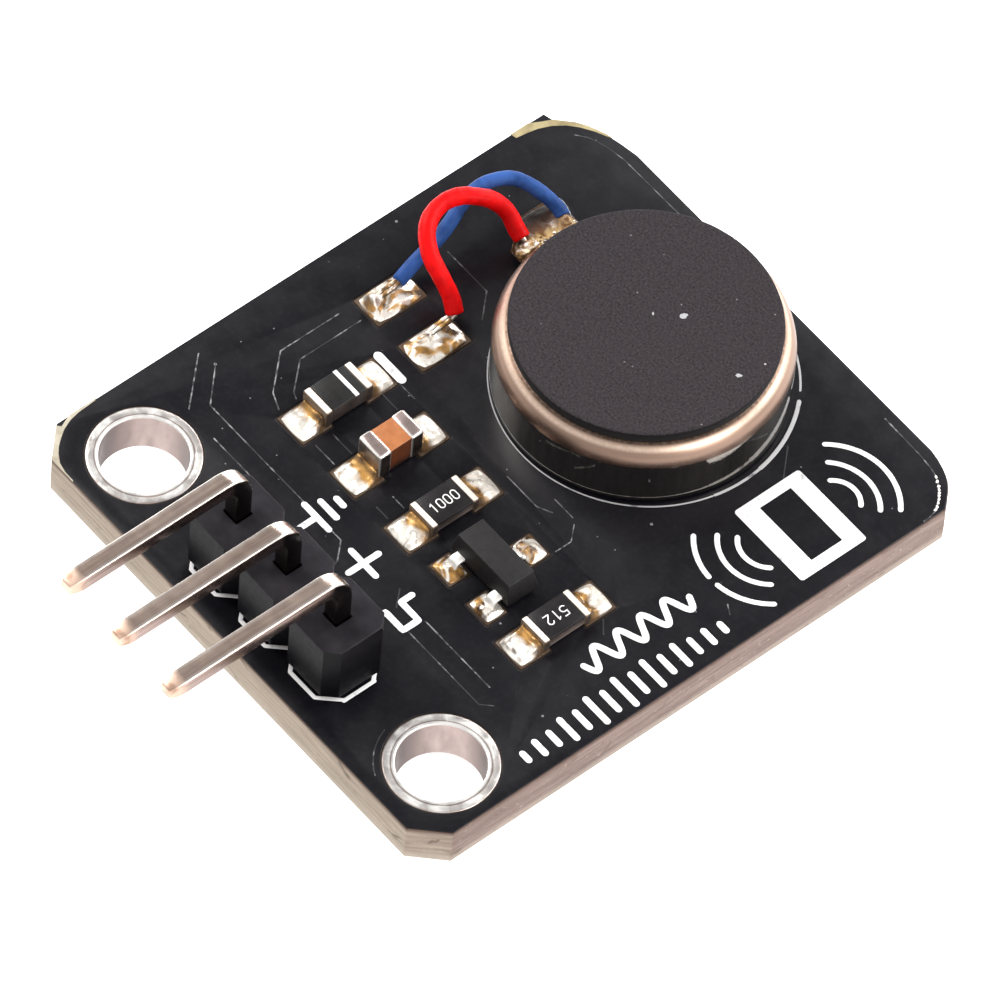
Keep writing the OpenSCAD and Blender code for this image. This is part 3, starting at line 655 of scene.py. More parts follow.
def wound(name, colour):
    """Enamelled wire wound round an upright axis: fine ridges one above the other, with painted shade in the
    grooves between them.
    """
    s = Shader(name, metallic=0.85, coat_weight=0.6, coat_roughness=0.2)
    inputs = {"Vector": s.scaled((0, 0, 1)), "Scale": 6.0, "Distortion": 0.4}
    wires = s.node("ShaderNodeTexWave", inputs, bands_direction="Z").outputs["Fac"]
    # The grooves between the turns get painted shade.
    groove_shaded = s.mix(wires, darker(colour, 0.4), colour)
    return s.finish(groove_shaded, s.vary(4, 3, 0.25, 0.4), s.bump(wires, 0.03, 0.9))


MASK = lacquer()
RIDGE = mask_ridge()
INK = ink("printed_ink", (0.40, 0.40, 0.41), (0.80, 0.80, 0.80))
THIN_INK = ink("thin_printed_ink", (0.10, 0.10, 0.11), (0.42, 0.42, 0.43))
LAMINATE = laminate()
BARE = bare_resin()
PAD_EDGE = metal("pad_edge", (0.10, 0.062, 0.038), 0.35, 0.5, scale=2.5, dents=0.03,
                 tarnish=(0.55, 0.46, 0.36), amount=0.3, metallic=0.6)
TINNED = metal("tinned_copper", (0.93, 0.90, 0.86), 0.30, 0.48, scale=1.9, dents=0.03, metallic=0.8)
RING = ring_metal()
BARREL = barrel_metal()
# The dark sides, ends and edges given to the chip terminals are painted shade.
TERMINAL = metal("chip_terminal", (0.84, 0.78, 0.70), 0.42, 0.55, scale=4.5, dents=0.010, metallic=0.5,
                 side=(0.085, 0.062, 0.053), end=(0.30, 0.22, 0.16), edge=(0.15, 0.105, 0.075))
# Dark sides of the capacitor terminals are painted shade, their pale edges a painted highlight.
CAP_TERMINAL = metal("capacitor_terminal", (0.36, 0.285, 0.27), 0.25, 0.38, dents=0.02, metallic=0.8,
                     side=(0.07, 0.052, 0.045), end=(0.34, 0.27, 0.23), edge=(0.95, 0.92, 0.88))
LEG = metal("transistor_leg", (0.96, 0.93, 0.89), 0.35, 0.5, scale=5.5, dents=0.010, metallic=0.6)
CHIP_SOLDER = solder_metal("chip_solder", CHIP_Y)
SOLDER = solder_metal("solder")
TAIL_SOLDER = metal("tail_solder", (0.86, 0.85, 0.83), 0.18, 0.32, scale=2.6, dents=0.02)
PIN = pin_metal()
CAN = can_metal()
# The side and foot colours of these parts are painted shading on their upright faces.
HOUSING = plastic("header_plastic", (0.0105, 0.0096, 0.0120), (0.0225, 0.0200, 0.0245), 0.45,
                  grain_scale=5, specular=0.10, side=(0.0026, 0.0022, 0.0034))
TRANSISTOR = plastic("transistor_epoxy", (0.0055, 0.0048, 0.0052), (0.0110, 0.0096, 0.0100), 0.55,
                     grain_scale=16, grain=0.014, specular=0.30, side=(0.0100, 0.0090, 0.0100))
DIODE = plastic("diode_epoxy", (0.0050, 0.0045, 0.0045), (0.0085, 0.0078, 0.0078), 0.4,
                grain_scale=14, grain=0.008, specular=0.35, side=(0.060, 0.047, 0.042))
COATING = plastic("resistor_coating", (0.0070, 0.0056, 0.0064), (0.0110, 0.0092, 0.0102), 0.35,
                  grain_scale=10, grain=0.005, specular=0.35)
ALUMINA = plastic("resistor_ceramic", (0.30, 0.27, 0.25), (0.40, 0.37, 0.34), 0.5,
                  side=(0.075, 0.056, 0.050), foot=(0.15, 0.12, 0.105))
CERAMIC = plastic("capacitor_ceramic", (0.300, 0.098, 0.027), (0.390, 0.140, 0.045), 0.4,
                  grain_scale=10, grain=0.008, coat=0.12, side=(0.105, 0.026, 0.007),
                  foot=(0.014, 0.006, 0.004))
FOAM = foam_material()
INSULATION = {"red": insulation("insulation_red", (0.50, 0.0020, 0.0028), (0.74, 0.0040, 0.0050)),
              "blue": insulation("insulation_blue", (0.015, 0.048, 0.170), (0.034, 0.092, 0.300))}
AMBER = film("flex_film", (0.11, 0.055, 0.02), 0.2)
GLUE = tab_glue()
CLEAR = film("clear_glue", (0.34, 0.40, 0.52), 0.55, 0.1)


# ---------------------------------------------------------------- outlines of the board

FRONT_CUTS = (1.03, 1.07)
BACK_RIGHT = ((0, 1.18), (0.24, 0.90), (0.46, 0.67), (0.64, 0.51), (0.83, 0.37), (1.05, 0.26), (1.3, 0.17),
              (1.65, 0.07), (2.07, 0))
BACK_LEFT = ((3.2, 0), (2.5, 0.12), (1.95, 0.25), (1.6, 0.37), (1.29, 0.52), (0.9, 0.77), (0.38, 1.28),
             (0, 1.38))
RING_R = half_width("mounting_ring_left")
HOLE_R = 1.5
MASK_GAP = 0.08
MASK_INSET = 0.025
PIN_HOLE_R = 0.5
PIN_RING_R = 0.85


def board_outline(inset):
    """The board's outline, anticlockwise: straight cuts in front, milled curves at the back."""
    x0, y0, x1, y1 = BOARD_LOW.x, BOARD_LOW.y, BOARD_HIGH.x, BOARD_HIGH.y
    a, b = FRONT_CUTS
    points = [(x0 + a, y0), (x1 - b, y0), (x1, y0 + b)]
    points += [(x1 - dx, y1 - dy) for dx, dy in BACK_RIGHT] + [(x0 + dx, y1 - dy) for dx, dy in BACK_LEFT]
    points.append((x0, y0 + a))
    middle_x, middle_y = (x0 + x1) / 2, (y0 + y1) / 2
    share_x, share_y = 1 - 2 * inset / (x1 - x0), 1 - 2 * inset / (y1 - y0)
    return [(middle_x + (x - middle_x) * share_x, middle_y + (y - middle_y) * share_y) for x, y in points]


def pads():
    """Lowest and highest corner of each copper pad, read from the CAD mesh's separate blocks."""
    bm = bmesh.new()
    bm.from_mesh(NODES["component_pads"].data)
    bmesh.ops.remove_doubles(bm, verts=bm.verts, dist=1e-7)
    left = set(bm.verts)
    found = []
    while left:
        island, stack = set(), [left.pop()]
        while stack:
            v = stack.pop()
            island.add(v)
            near = {edge.other_vert(v) for edge in v.link_edges} & left
            left -= near
            stack += near
        xs, ys = [v.co.x / MM for v in island], [v.co.y / MM for v in island]
        found.append(((min(xs), min(ys)), (max(xs), max(ys))))
    bm.free()
    return sorted(found)


def pad_near(x, y):
    """The copper pad whose middle is nearest to a place."""
    return min(PADS, key=lambda pad: sum(abs((pad[0][k] + pad[1][k]) / 2 - (x, y)[k]) for k in (0, 1)))


def grown(low, high, gap):
    """The two corners of a rectangle or block, moved outwards by a gap."""
    return tuple(c - gap for c in low), tuple(c + gap for c in high)


PADS = pads()


# ---------------------------------------------------------------- board

def build_board():
    """Laminate core with its drilled holes, and the lacquer on both sides with openings for the copper."""
    drill = [circle((h.x, h.y), HOLE_R + 0.02) for h in HOLES.values()]
    pin_drill = [circle((x, HEADER_Y), PIN_HOLE_R + 0.06, 48) for x in PIN_XS]
    core = plate([board_outline(0)] + drill + pin_drill, 0, BOARD_TOP, 0.03)
    piece("board_core", *core, LAMINATE, "board_laminate", ["circuit_board"])
    rings = [circle((h.x, h.y), RING_R + MASK_GAP * 0.6) for h in HOLES.values()]
    rings += [circle((x, HEADER_Y), PIN_RING_R + MASK_GAP * 0.6, 64) for x in PIN_XS]
    openings = [round_rectangle(*grown(low, high, MASK_GAP), 0.1) for low, high in PADS]
    outline = [board_outline(MASK_INSET)] + rings
    top = plate(outline + openings, BOARD_TOP - 0.005, MASK_TOP, 0.012)
    piece("mask_top", *top, MASK, "solder_mask", ["solder_mask_top"])
    under = plate(outline, -MASK_T, 0.005, 0.012)
    piece("mask_under", *under, MASK, "solder_mask", ["solder_mask_bottom"])


def build_pads():
    bottom = BOARD_TOP - 0.005
    parts = [plate([round_rectangle(low, high, 0.06)], bottom, PAD_TOP, 0.012) for low, high in PADS]
    piece("pads", *join(parts), PAD_EDGE, "tinned_copper", ["component_pads"])


def ring_profile(inner, outer, rise):
    """Section of both rings of a plated hole and the thin skin between them, a lip on each inner edge."""
    lip, valley = inner + 0.08, inner + 0.17
    crest = [(inner, -0.06), (inner + 0.012, -0.02), (inner + 0.035, 0.0), (lip, 0.0), (valley, -0.014),
             (valley + 0.05, -0.004)]
    span = outer - valley - 0.05
    crest += [(valley + 0.05 + span * k / 6, -0.004 - 0.012 * (k / 6) ** 3) for k in range(1, 6)]
    top = BOARD_TOP + rise
    upper = [(r, top + z) for r, z in crest] + [(outer, top - 0.03), (outer, BOARD_TOP - 0.02)]
    lower = [(r, BOARD_TOP - z) for r, z in reversed(upper)]
    return upper + [(inner + 0.05, BOARD_TOP - 0.02), (inner + 0.05, 0.02)] + lower


def build_plated_holes():
    rise = 0.04
    for side, place in HOLES.items():
        seed = 3 if side == "left" else 8
        centre = (place.x, place.y)

        def uneven(turn, radius, height, seed=seed):
            if height < BOARD_TOP or radius > RING_R - 0.02 or radius < HOLE_R + 0.03:
                return 0
            spot = Vector((math.cos(turn), math.sin(turn), radius * 1.4 + seed))
            return -0.010 * abs(noise.noise(spot * 4.5)) - 0.006 * abs(noise.noise(spot * 11))

        ring = lathe(ring_profile(HOLE_R, RING_R, rise), centre, 200, uneven)
        piece("plated_hole_" + side, *ring, RING, "tinned_copper", ["mounting_ring_" + side], angle=80)
        inner, outer, low, high = HOLE_R - 0.004, HOLE_R + 0.01, 0.03, BOARD_TOP - 0.03
        skin = [(inner, high), (inner, low), (outer, low), (outer, high)]
        piece("barrel_" + side, *lathe(skin, centre, 160), BARREL, "tinned_copper")
    parts = [lathe(ring_profile(PIN_HOLE_R, PIN_RING_R, rise), (x, HEADER_Y), 64) for x in PIN_XS]
    piece("pin_rings", *join(parts), TINNED, "tinned_copper", ["pin_hole_plating"])


def build_milled_corners():
    """Pale resin at both left corners, where milling cut through the lacquer, and the copper's back edge with
    painted highlight: grey dots on its ridge and bright beads at the right corner.
    """
    x0, y0 = BOARD_LOW.x, BOARD_LOW.y
    front = [(x0, 0.2), (x0, -0.95), (-10.15, -1.42), (-10.28, -1.54), (-9.32, y0), (-8.2, y0),
             (-8.25, -2.47), (-8.65, -2.46), (-9.03, -2.38), (-9.36, -2.18), (-9.57, -2.0), (-9.79, -1.73),
             (-10.0, -1.43), (-10.17, -1.03), (-10.25, -0.62), (-10.29, 0.1)]
    back = [(x0, 17.75), (-10.12, 17.8), (-10.07, 18.15), (-9.98, 18.6), (-9.79, 19.05), (-9.52, 19.44),
            (-9.17, 19.76), (-8.72, 20.05), (-8.41, 20.2), (-8.15, 20.34), (-8.4, 20.30), (-9.06, 20.02),
            (-9.45, 19.77), (-9.97, 19.26), (-10.12, 18.92), (x0, 18.5)]
    parts = [plate([points], MASK_TOP - 0.02, MASK_TOP + 0.003, 0.003) for points in (front, back)]
    piece("milled_corners", *join(parts), BARE, "board_laminate")
    right = [(6.0, 20.14), (7.2, 20.12), (7.85, 20.10), (8.44, 20.05), (8.75, 19.97), (9.15, 19.76),
             (9.38, 19.58), (9.62, 19.33), (9.80, 19.05), (9.87, 18.8), (9.89, 18.5)]
    left = [(-9.03, 19.43), (-8.71, 19.69), (-8.35, 19.84), (-7.97, 19.95), (-7.61, 20.02), (-7.25, 20.07),
            (-3, 20.1)]
    z = MASK_TOP - 0.004
    grey = [stroke(right, 0.05, z, 5, 0.012, 0.6), stroke(left, 0.04, z, 6, 0.010, 0.7)]
    piece("copper_edge", *join(grey), RIDGE, "solder_mask")
    # The bright tin beads along the right corner are painted highlight dots on the copper's edge.
    beads = []
    for k, place in enumerate(smooth_route([(x, y, 0) for x, y in right[4:9]], 9)):
        reach = 0.024 + 0.016 * math.sin(k * 1.7) + 0.008 * math.sin(k * 4.1)
        centre = (place[0] + 0.012 * math.sin(k * 3.3), place[1], MASK_TOP + 0.002)
        beads.append(blob(centre, (reach, reach * 1.3, 0.012), k, 0.3, 7))
    piece("corner_glint_beads", *join(beads), TINNED, "tinned_copper")


# ---------------------------------------------------------------- print and tracks

def stroke(points, width, z, seed=0, height=0.012, ragged=0.05):
    """A printed line with round ends and slightly ragged sides."""
    path = [Vector((p[0], p[1], 0)) for p in points]
    dense = [path[0]]
    for a, b in zip(path, path[1:]):
        count = max(1, int((b - a).length / 0.05))
        dense += [a.lerp(b, k / count) for k in range(1, count + 1)]
    half = width / 2
    caps = (0.35, 0.7, 0.93, 1.0)
    ends = [math.sqrt(max(0.02, 1 - c * c)) for c in caps]
    widths = list(reversed(ends)) + [1] * len(dense) + ends
    first, last = (dense[0] - dense[1]).normalized(), (dense[-1] - dense[-2]).normalized()
    dense = ([dense[0] + first * half * c for c in reversed(caps)] + dense
             + [dense[-1] + last * half * c for c in caps])
    verts = []
    shape = [(-1, -0.3), (-0.86, 0.75), (0, 1), (0.86, 0.75), (1, -0.3)]
    last = len(dense) - 1
    for i, point in enumerate(dense):
        along = (dense[min(i + 1, last)] - dense[max(i - 1, 0)]).normalized()
        across = Vector((-along.y, along.x, 0))
        wide = half * widths[i] * (1 + ragged * noise.noise(point * 3.1 + Vector((seed, seed * 0.7, 0))))
        verts += [tuple(point + across * a * wide + Vector((0, 0, z + b * height))) for a, b in shape]
    return verts, quads(last + 1, len(shape), wrap_columns=False)


def ruled(x0, y0, x1, y1, width, z, seed):
    """A printed straight line."""
    return stroke([(x0, y0), (x1, y1)], width, z, seed)


def build_print():
    """Printed lines round the header and the motor and at the diode, then the marks."""
    z = MASK_TOP
    line = 0.15
    # Outline round the header: an octagon to each pin, open between them
    half, cut = 1.30, 0.67
    parts = []
    for side in (-1, 1):
        for k, x in enumerate(PIN_XS):
            y, corner = HEADER_Y + side * half, HEADER_Y + side * (half - cut)
            reach, flat = half - 0.04, half - cut
            points = [(x - reach, corner), (x - flat, y), (x + flat, y), (x + reach, corner)]
            parts.append(stroke(points, line, z, k + 3 * side))
    for x in (PIN_XS[0] - half, PIN_XS[-1] + half):
        parts.append(ruled(x, HEADER_Y - half + cut, x, HEADER_Y + half - cut, line, z, 7))
    piece("print_header_outline", *join(parts), INK)
    # Circle round the motor, its line of uneven width, with a gap on the side of the pictogram
    centre, circle_r = (MOTOR.x + 0.09, MOTOR.y + 0.06), 5.13
    stretches = [(-60, -14, 0.06), (-13, 8, 0.10), (8, 42, 0.15), (47, 200, 0.08), (200, 300, 0.05)]
    parts = [stroke(arc(centre, circle_r, a, b, 2 * abs(b - a)), width, z, a) for a, b, width in stretches]
    piece("print_motor_circle", *join(parts), THIN_INK)
    # Bar at the diode's cathode
    x, y, reach = middle("diode_body").x, CHIP_Y + 2.22, 0.6
    piece("print_diode_bar", *ruled(x - reach, y, x + reach, y, 0.33, z, 2), INK)
    build_pin_marks(z)
    build_pictogram(z)
    build_wave_marks(z)


def build_pin_marks(z):
    """Marks of the three pins: ground, plus and a pulse."""
    line = 0.24
    x, y = PIN_XS[0] + 0.25, 1.95
    ground = [ruled(x, y, x, y + 0.85, line, z, 1)]
    for seed, reach, rise in ((2, 0.62, 0.95), (3, 0.4, 1.45), (4, 0.17, 1.93)):
        ground.append(ruled(x - reach, y + rise, x + reach, y + rise, line, z, seed))
    x, y = PIN_XS[1] + 0.05, 2.95
    plus = [ruled(x - 0.62, y, x + 0.62, y, line, z, 5), ruled(x, y - 0.62, x, y + 0.62, line, z + 0.001, 6)]
    x, y = PIN_XS[2] - 0.12, 2.1
    steps = ((-0.45, -0.25), (-0.45, 0.2), (0.45, 0.2), (0.45, 0.85), (-0.45, 0.85), (-0.45, 1.3))
    pulse = stroke([(x + dx, y + dy) for dx, dy in steps], line, z, 7)
    piece("print_pin_marks", *join(ground + plus + [pulse]), INK)


def build_pictogram(z):
    """A plain slab with three arcs on each side of it, for shaking."""
    outer = round_rectangle((5.82, 13.8), (9.28, 16.58), 0.12)
    inner = round_rectangle((6.22, 14.58), (8.83, 15.9), 0.03)
    parts = [plate([outer, inner], z - 0.003, z + 0.012, 0.004)]
    front = (7.42, 14.0)
    arcs = [((7.53, 16.62), 0.90, 47, 146), ((7.50, 16.30), 1.80, 49, 137), ((7.45, 16.45), 2.38, 47, 142),
            (front, 1.06, 225, 321), (front, 1.72, 225, 321), (front, 2.49, 228, 267),
            (front, 2.49, 277, 323)]
    for centre, radius, start, end in arcs:
        parts.append(stroke(arc(centre, radius, start, end, 30), 0.19, z, radius + start))
    piece("print_pictogram", *join(parts), INK)


def build_wave_marks(z):
    """Two columns of vibration marks: a smooth wave, and a burst of bars that swells and fades."""
    line = 0.24
    steps, waves, reach = 120, 4.5, 0.42
    low, high, x = 6.05, 10.5, 7.52
    wave = [(x + reach * math.sin(2 * math.pi * waves * k / steps), low + (high - low) * k / steps)
            for k in range(steps + 1)]
    piece("print_wave", *stroke(wave, line, z, 11), INK)
    bars, low, high, x = 15, 2.3, 10.6, 9.1
    parts = []
    for k in range(bars):
        y = low + (high - low) * k / (bars - 1)
        reach = 0.12 + 0.46 * math.sin(math.pi * (k + 0.6) / (bars + 0.2)) * (1 if k % 2 else 0.62)
        parts.append(ruled(x - reach, y, x + reach, y, line, z, k))
    piece("print_burst", *join(parts), INK)


def build_tracks():
    """Edges of the copper tracks where they lift the lacquer, as thin ridges with grey dots of painted
    highlight.
    """
    lines = [
        [(-9.7, 3.95), (-8.15, 2.3)],
        [(-9.05, 4.15), (-7.85, 2.95), (-1.1, 2.95), (-0.55, 2.35), (-0.45, 2.1)],
        [(-6.75, 2.22), (-4.75, 2.22)],
        [(-8.15, 8.6), (-8.15, 6.15), (-7.0, 4.9), (-6.35, 4.62)],
        [(-7.5, 9), (-7.5, 6.45), (-6.6, 5.45), (-6.35, 5.35)],
        [(-4.5, 5.4), (-3.55, 5.4)], [(-4.5, 4.68), (-3.55, 4.68)],
        [(-4.8, 8.42), (-4.0, 8.42)], [(-4.8, 7.7), (-4.0, 7.7)],
        [(-1.4, 5.38), (-0.85, 5.38)], [(-1.4, 4.7), (-0.85, 4.7)],
        [(3.05, 3.1), (6.3, 3.1)], [(3.05, 2.4), (6.6, 2.4), (6.95, 2.75)],
        [(1.55, 3.25), (2.05, 2.7)],
        [(0.25, 8.85), (1.75, 8.85), (2.25, 9.1)], [(1.9, 9.5), (2.8, 9.5)],
        [(3.05, 9.35), (3.5, 8.85), (3.5, 8.2)],
        [(6.5, 7.72), (6.95, 7.35)],
        [(-7.9, 13.05), (-5.9, 13.05), (-5.1, 12.2)],
        [(4.9, 16.9), (5.8, 15.95)], [(8.5, 11.3), (8.85, 11.1)],
    ]
    z = MASK_TOP - 0.004
    width, rise, ragged = 0.05, 0.012, 0.5
    parts = [stroke(points, width, z, k, rise, ragged) for k, points in enumerate(lines)]
    right = HOLES["right"]
    parts.append(stroke(arc((right.x, right.y), 2.2, 197, 245, 20), width, z, 40, rise, ragged))
    piece("track_edges", *join(parts), RIDGE, "solder_mask")


def build_under_tracks():
    """Tracks of the underside, low ridges under the lacquer."""
    lines = [
        [(PIN_XS[0], HEADER_Y), (-4.2, 2.4), (-4.2, 9.2), (-5.3, 10.35)],
        [(PIN_XS[1], HEADER_Y), (0.0, 4.7)],
        [(PIN_XS[2], HEADER_Y), (4.3, 1.6), (4.3, 3.6), (5.7, 5.0)],
    ]
    verts, faces = join([stroke(points, 0.5, 0, k, 0.016, 0.0) for k, points in enumerate(lines)])
    piece("under_tracks", [(x, y, -MASK_T - rise) for x, y, rise in verts], faces, MASK, "solder_mask")


# ---------------------------------------------------------------- header

def build_header():
    """Plastic strip: a lobe to each pin, square sockets and two feet that hold it off the board."""
    lift, top = MASK_TOP + 0.3, box("header_housing")[1].z
    half, cut = PIN_PITCH / 2, 0.42
    lobes = [(x, -1) for x in PIN_XS] + [(x, 1) for x in reversed(PIN_XS)]
    outline = []
    for x, side in lobes:
        for dx, dy in ((half, half - cut), (half - cut, half), (cut - half, half), (-half, half - cut)):
            p = (x + side * dx, HEADER_Y + side * dy)
            if not outline or (Vector(p) - Vector(outline[-1])).length > 0.01:
                outline.append(p)
    side = PIN_SIDE / 2 + 0.02
    sockets = [[(x + a * side, HEADER_Y + b * side) for a, b in ((-1, -1), (1, -1), (1, 1), (-1, 1))]
               for x in PIN_XS]
    parts = [plate([outline] + sockets, lift, top, 0.05)]
    for k in (0, 1):
        x = (PIN_XS[k] + PIN_XS[k + 1]) / 2
        foot_low, foot_high = (x - 0.3, HEADER_Y - 0.7, MASK_TOP), (x + 0.3, HEADER_Y + 0.7, lift + 0.1)
        parts.append(rounded_block(foot_low, foot_high, 0.04))
    piece("housing", *join(parts), HOUSING, "header_plastic", ["header_housing"], angle=35)


def pin_section(half, corner):
    """Square section with rounded corners."""
    out = []
    for k, (sx, sy) in enumerate(((1, 1), (-1, 1), (-1, -1), (1, -1))):
        out += arc((sx * (half - corner), sy * (half - corner)), corner, 90 * k, 90 * k + 90, 4)
    return out


def build_pins():
    """Square pins, level in front, bent down through the strip and the board, tapered at both ends."""
    half = PIN_SIDE / 2
    bend = 0.8
    axis_z = PIN_HIGH.z - half
    tip_y, tail_z = PIN_LOW.y, PIN_LOW.z
    taper, tail_taper = 0.6, 0.45
    flat = [(tip_y + d, axis_z) for d in (0, 0.03, 0.08, 0.16, 0.26, 0.38, 0.50, taper, 0.75, 2.2, 4.0, 5.4)]
    curve = [(HEADER_Y - bend + bend * math.sin(t), axis_z - bend + bend * math.cos(t))
             for t in (math.pi / 2 * k / 14 for k in range(15))]
    heights = (3.5, 1.0, 0.0, tail_z + tail_taper + 0.05, tail_z + tail_taper - 0.03, tail_z + 0.05, tail_z)
    down = [(HEADER_Y, z) for z in heights]
    for x, name in zip(PIN_XS, ("ground", "supply", "signal")):
        path = [(x, y, z) for y, z in flat + curve + down]
        last = len(path) - 1

        def section(i, share, path=path, last=last):
            size = 1
            if i < len(flat):
                along = min(1, (path[i][1] - tip_y) / taper)
                size = 0.62 + 0.38 * math.sin(math.pi / 2 * along) ** 0.8
            if i > last - 4:
                size = min(1, 0.56 + 0.44 * (path[i][2] - tail_z) / tail_taper)
            if i in (0, last):
                size *= 0.80
            return pin_section(half * size, 0.07 * size)

        verts, faces = sweep(path, section, (1, 0, 0))
        piece("pin_" + name, verts, faces, PIN, "pin_metal", ["header_pin_" + name], angle=50)


def build_tail_solder():
    """Solder cones round the pin tails, under the board."""
    profile = [(0.80, -0.03), (0.78, -0.07), (0.66, -0.14), (0.55, -0.24), (0.47, -0.37), (0.41, -0.50),
               (0.36, -0.60), (0.30, -0.63), (0.30, 0.0), (0.80, 0.0)]
    parts = []
    for k, x in enumerate(PIN_XS):

        def uneven(turn, radius, height, k=k):
            if height > -0.05:
                return 0
            return 0.03 * noise.noise(Vector((2 * math.cos(turn), 2 * math.sin(turn), height * 3 + k * 5)))

        parts.append(lathe(profile, (x, HEADER_Y), 64, uneven))
    piece("tail_solder", *join(parts), TAIL_SOLDER, "solder", ["header_solder"], angle=60)


# ---------------------------------------------------------------- chip components

def chip_fillet(name, side, seed):
    """Solder over a chip's pad and up the end of its cap, before (-1) or behind (1) it."""
    low, high = box(name + "_solder")
    inner = box(name + "_terminals")[side > 0].y
    outer = (low.y, high.y)[side > 0] + side * 0.05
    rise = high.z - PAD_TOP
    y0, y1 = sorted((outer, inner - side * 0.12))

    def height(u, v):
        y = y0 + (y1 - y0) * v
        near = max(0, min(1, (y - outer) / (inner - outer)))
        slope = 0.05 + 0.11 * math.sin(math.pi * min(1, near * 1.25)) + (rise - 0.05) * near ** 3.2
        return slope * (1 - max(0, abs(2 * u - 1) - 0.72) * 1.5)

    return mound((low.x - 0.05, y0), (high.x + 0.05, y1), height, PAD_TOP, seed + side, rough=0.13)


def build_chip(name, material, slot, cap, seed, cap_material=TERMINAL, cap_radius=0.075):
    """Body of a chip, its two end caps of length cap, which the tin has rounded, and their solder."""
    piece(name, *rounded_block(*box(name + "_body"), 0.03), material, slot, [name + "_body"])
    low, high = box(name + "_terminals")
    caps = [rounded_block(low, (high.x, low.y + cap, high.z), cap_radius, 4),
            rounded_block((low.x, high.y - cap, low.z), high, cap_radius, 4)]
    piece(name + "_caps", *join(caps), cap_material, "chip_terminal", [name + "_terminals"])
    fillets = join([chip_fillet(name, side, seed) for side in (-1, 1)])
    piece(name + "_fillets", *fillets, CHIP_SOLDER, "solder", [name + "_solder"], angle=60)


GLYPHS = {
    "0": [arc((0.5, 1.15), 0.36, 0, 180, 8) + arc((0.5, 0.45), 0.36, 180, 360, 8) + [(0.86, 1.15)]],
    "1": [[(0.28, 1.2), (0.55, 1.5), (0.55, 0.08)]],
    "2": [arc((0.5, 1.12), 0.36, 170, -25, 9) + [(0.14, 0.09), (0.9, 0.09)]],
    "5": [[(0.84, 1.5), (0.22, 1.5), (0.18, 0.9)] + arc((0.46, 0.52), 0.42, 105, -140, 10)],
}


def number_marks(text, centre, reading, size, z, width):
    """Numerals drawn as strokes. reading is the direction in which they are read."""
    reading = Vector((*reading, 0)) * size
    upward = Vector((-reading.y, reading.x, 0))
    centre = Vector((*centre, 0))
    pitch = 1.12
    start = -pitch * len(text) / 2
    parts = []
    for k, letter in enumerate(text):
        for points in GLYPHS[letter]:
            placed = [centre + reading * (start + k * pitch + a) + upward * (b - 0.8) for a, b in points]
            parts.append(stroke(placed, width, z, k, 0.006, 0.08))
    return join(parts)


def build_diode():
    """The diode has a moulded shell between its caps, and a pale band at its cathode."""
    build_chip("diode", DIODE, "diode_epoxy", 0.30, 1)
    low, high = box("diode_body")
    cap_low, cap_high = box("diode_terminals")
    x0, x1, top = low.x - 0.03, high.x + 0.03, cap_high.z
    shell = rounded_block((x0, cap_low.y + 0.28, low.z), (x1, cap_high.y - 0.28, top - 0.006), 0.04)
    piece("diode_shell", *shell, DIODE, "diode_epoxy")
    band = rounded_block((x0 - 0.001, CHIP_Y + 0.24, top - 0.06), (x1 + 0.001, CHIP_Y + 0.40, top), 0.015)
    piece("diode_band", *band, INK)


def build_resistor(name, text, reading, size, seed):
    """Chip resistor with a black coating, and its value in numerals."""
    build_chip(name, ALUMINA, "resistor_ceramic", 0.28, seed)
    low, high = box(name + "_coating")
    x, y, _ = (low + high) / 2
    top = box(name + "_terminals")[1].z + 0.008
    coat_low, coat_high = (low.x - 0.02, low.y - 0.02, low.z - 0.05), (high.x + 0.02, high.y + 0.02, top)
    coat = rounded_block(coat_low, coat_high, 0.02)
    piece(name + "_coat", *coat, COATING, "resistor_coating", [name + "_coating"])
    piece(name + "_number", *number_marks(text, (x, y), reading, size, top, 0.045), INK)


LEG_W, LEG_T = 0.42, 0.12


def leg_section(i, share):
    """Flat strip of a transistor's leg, with cut corners."""
    a, b, cut = LEG_W / 2, LEG_T / 2, 0.03
    c, d = a - cut, b - cut
    return [(c, b), (-c, b), (-a, d), (-a, -d), (-c, -b), (c, -b), (a, -d), (a, d)]


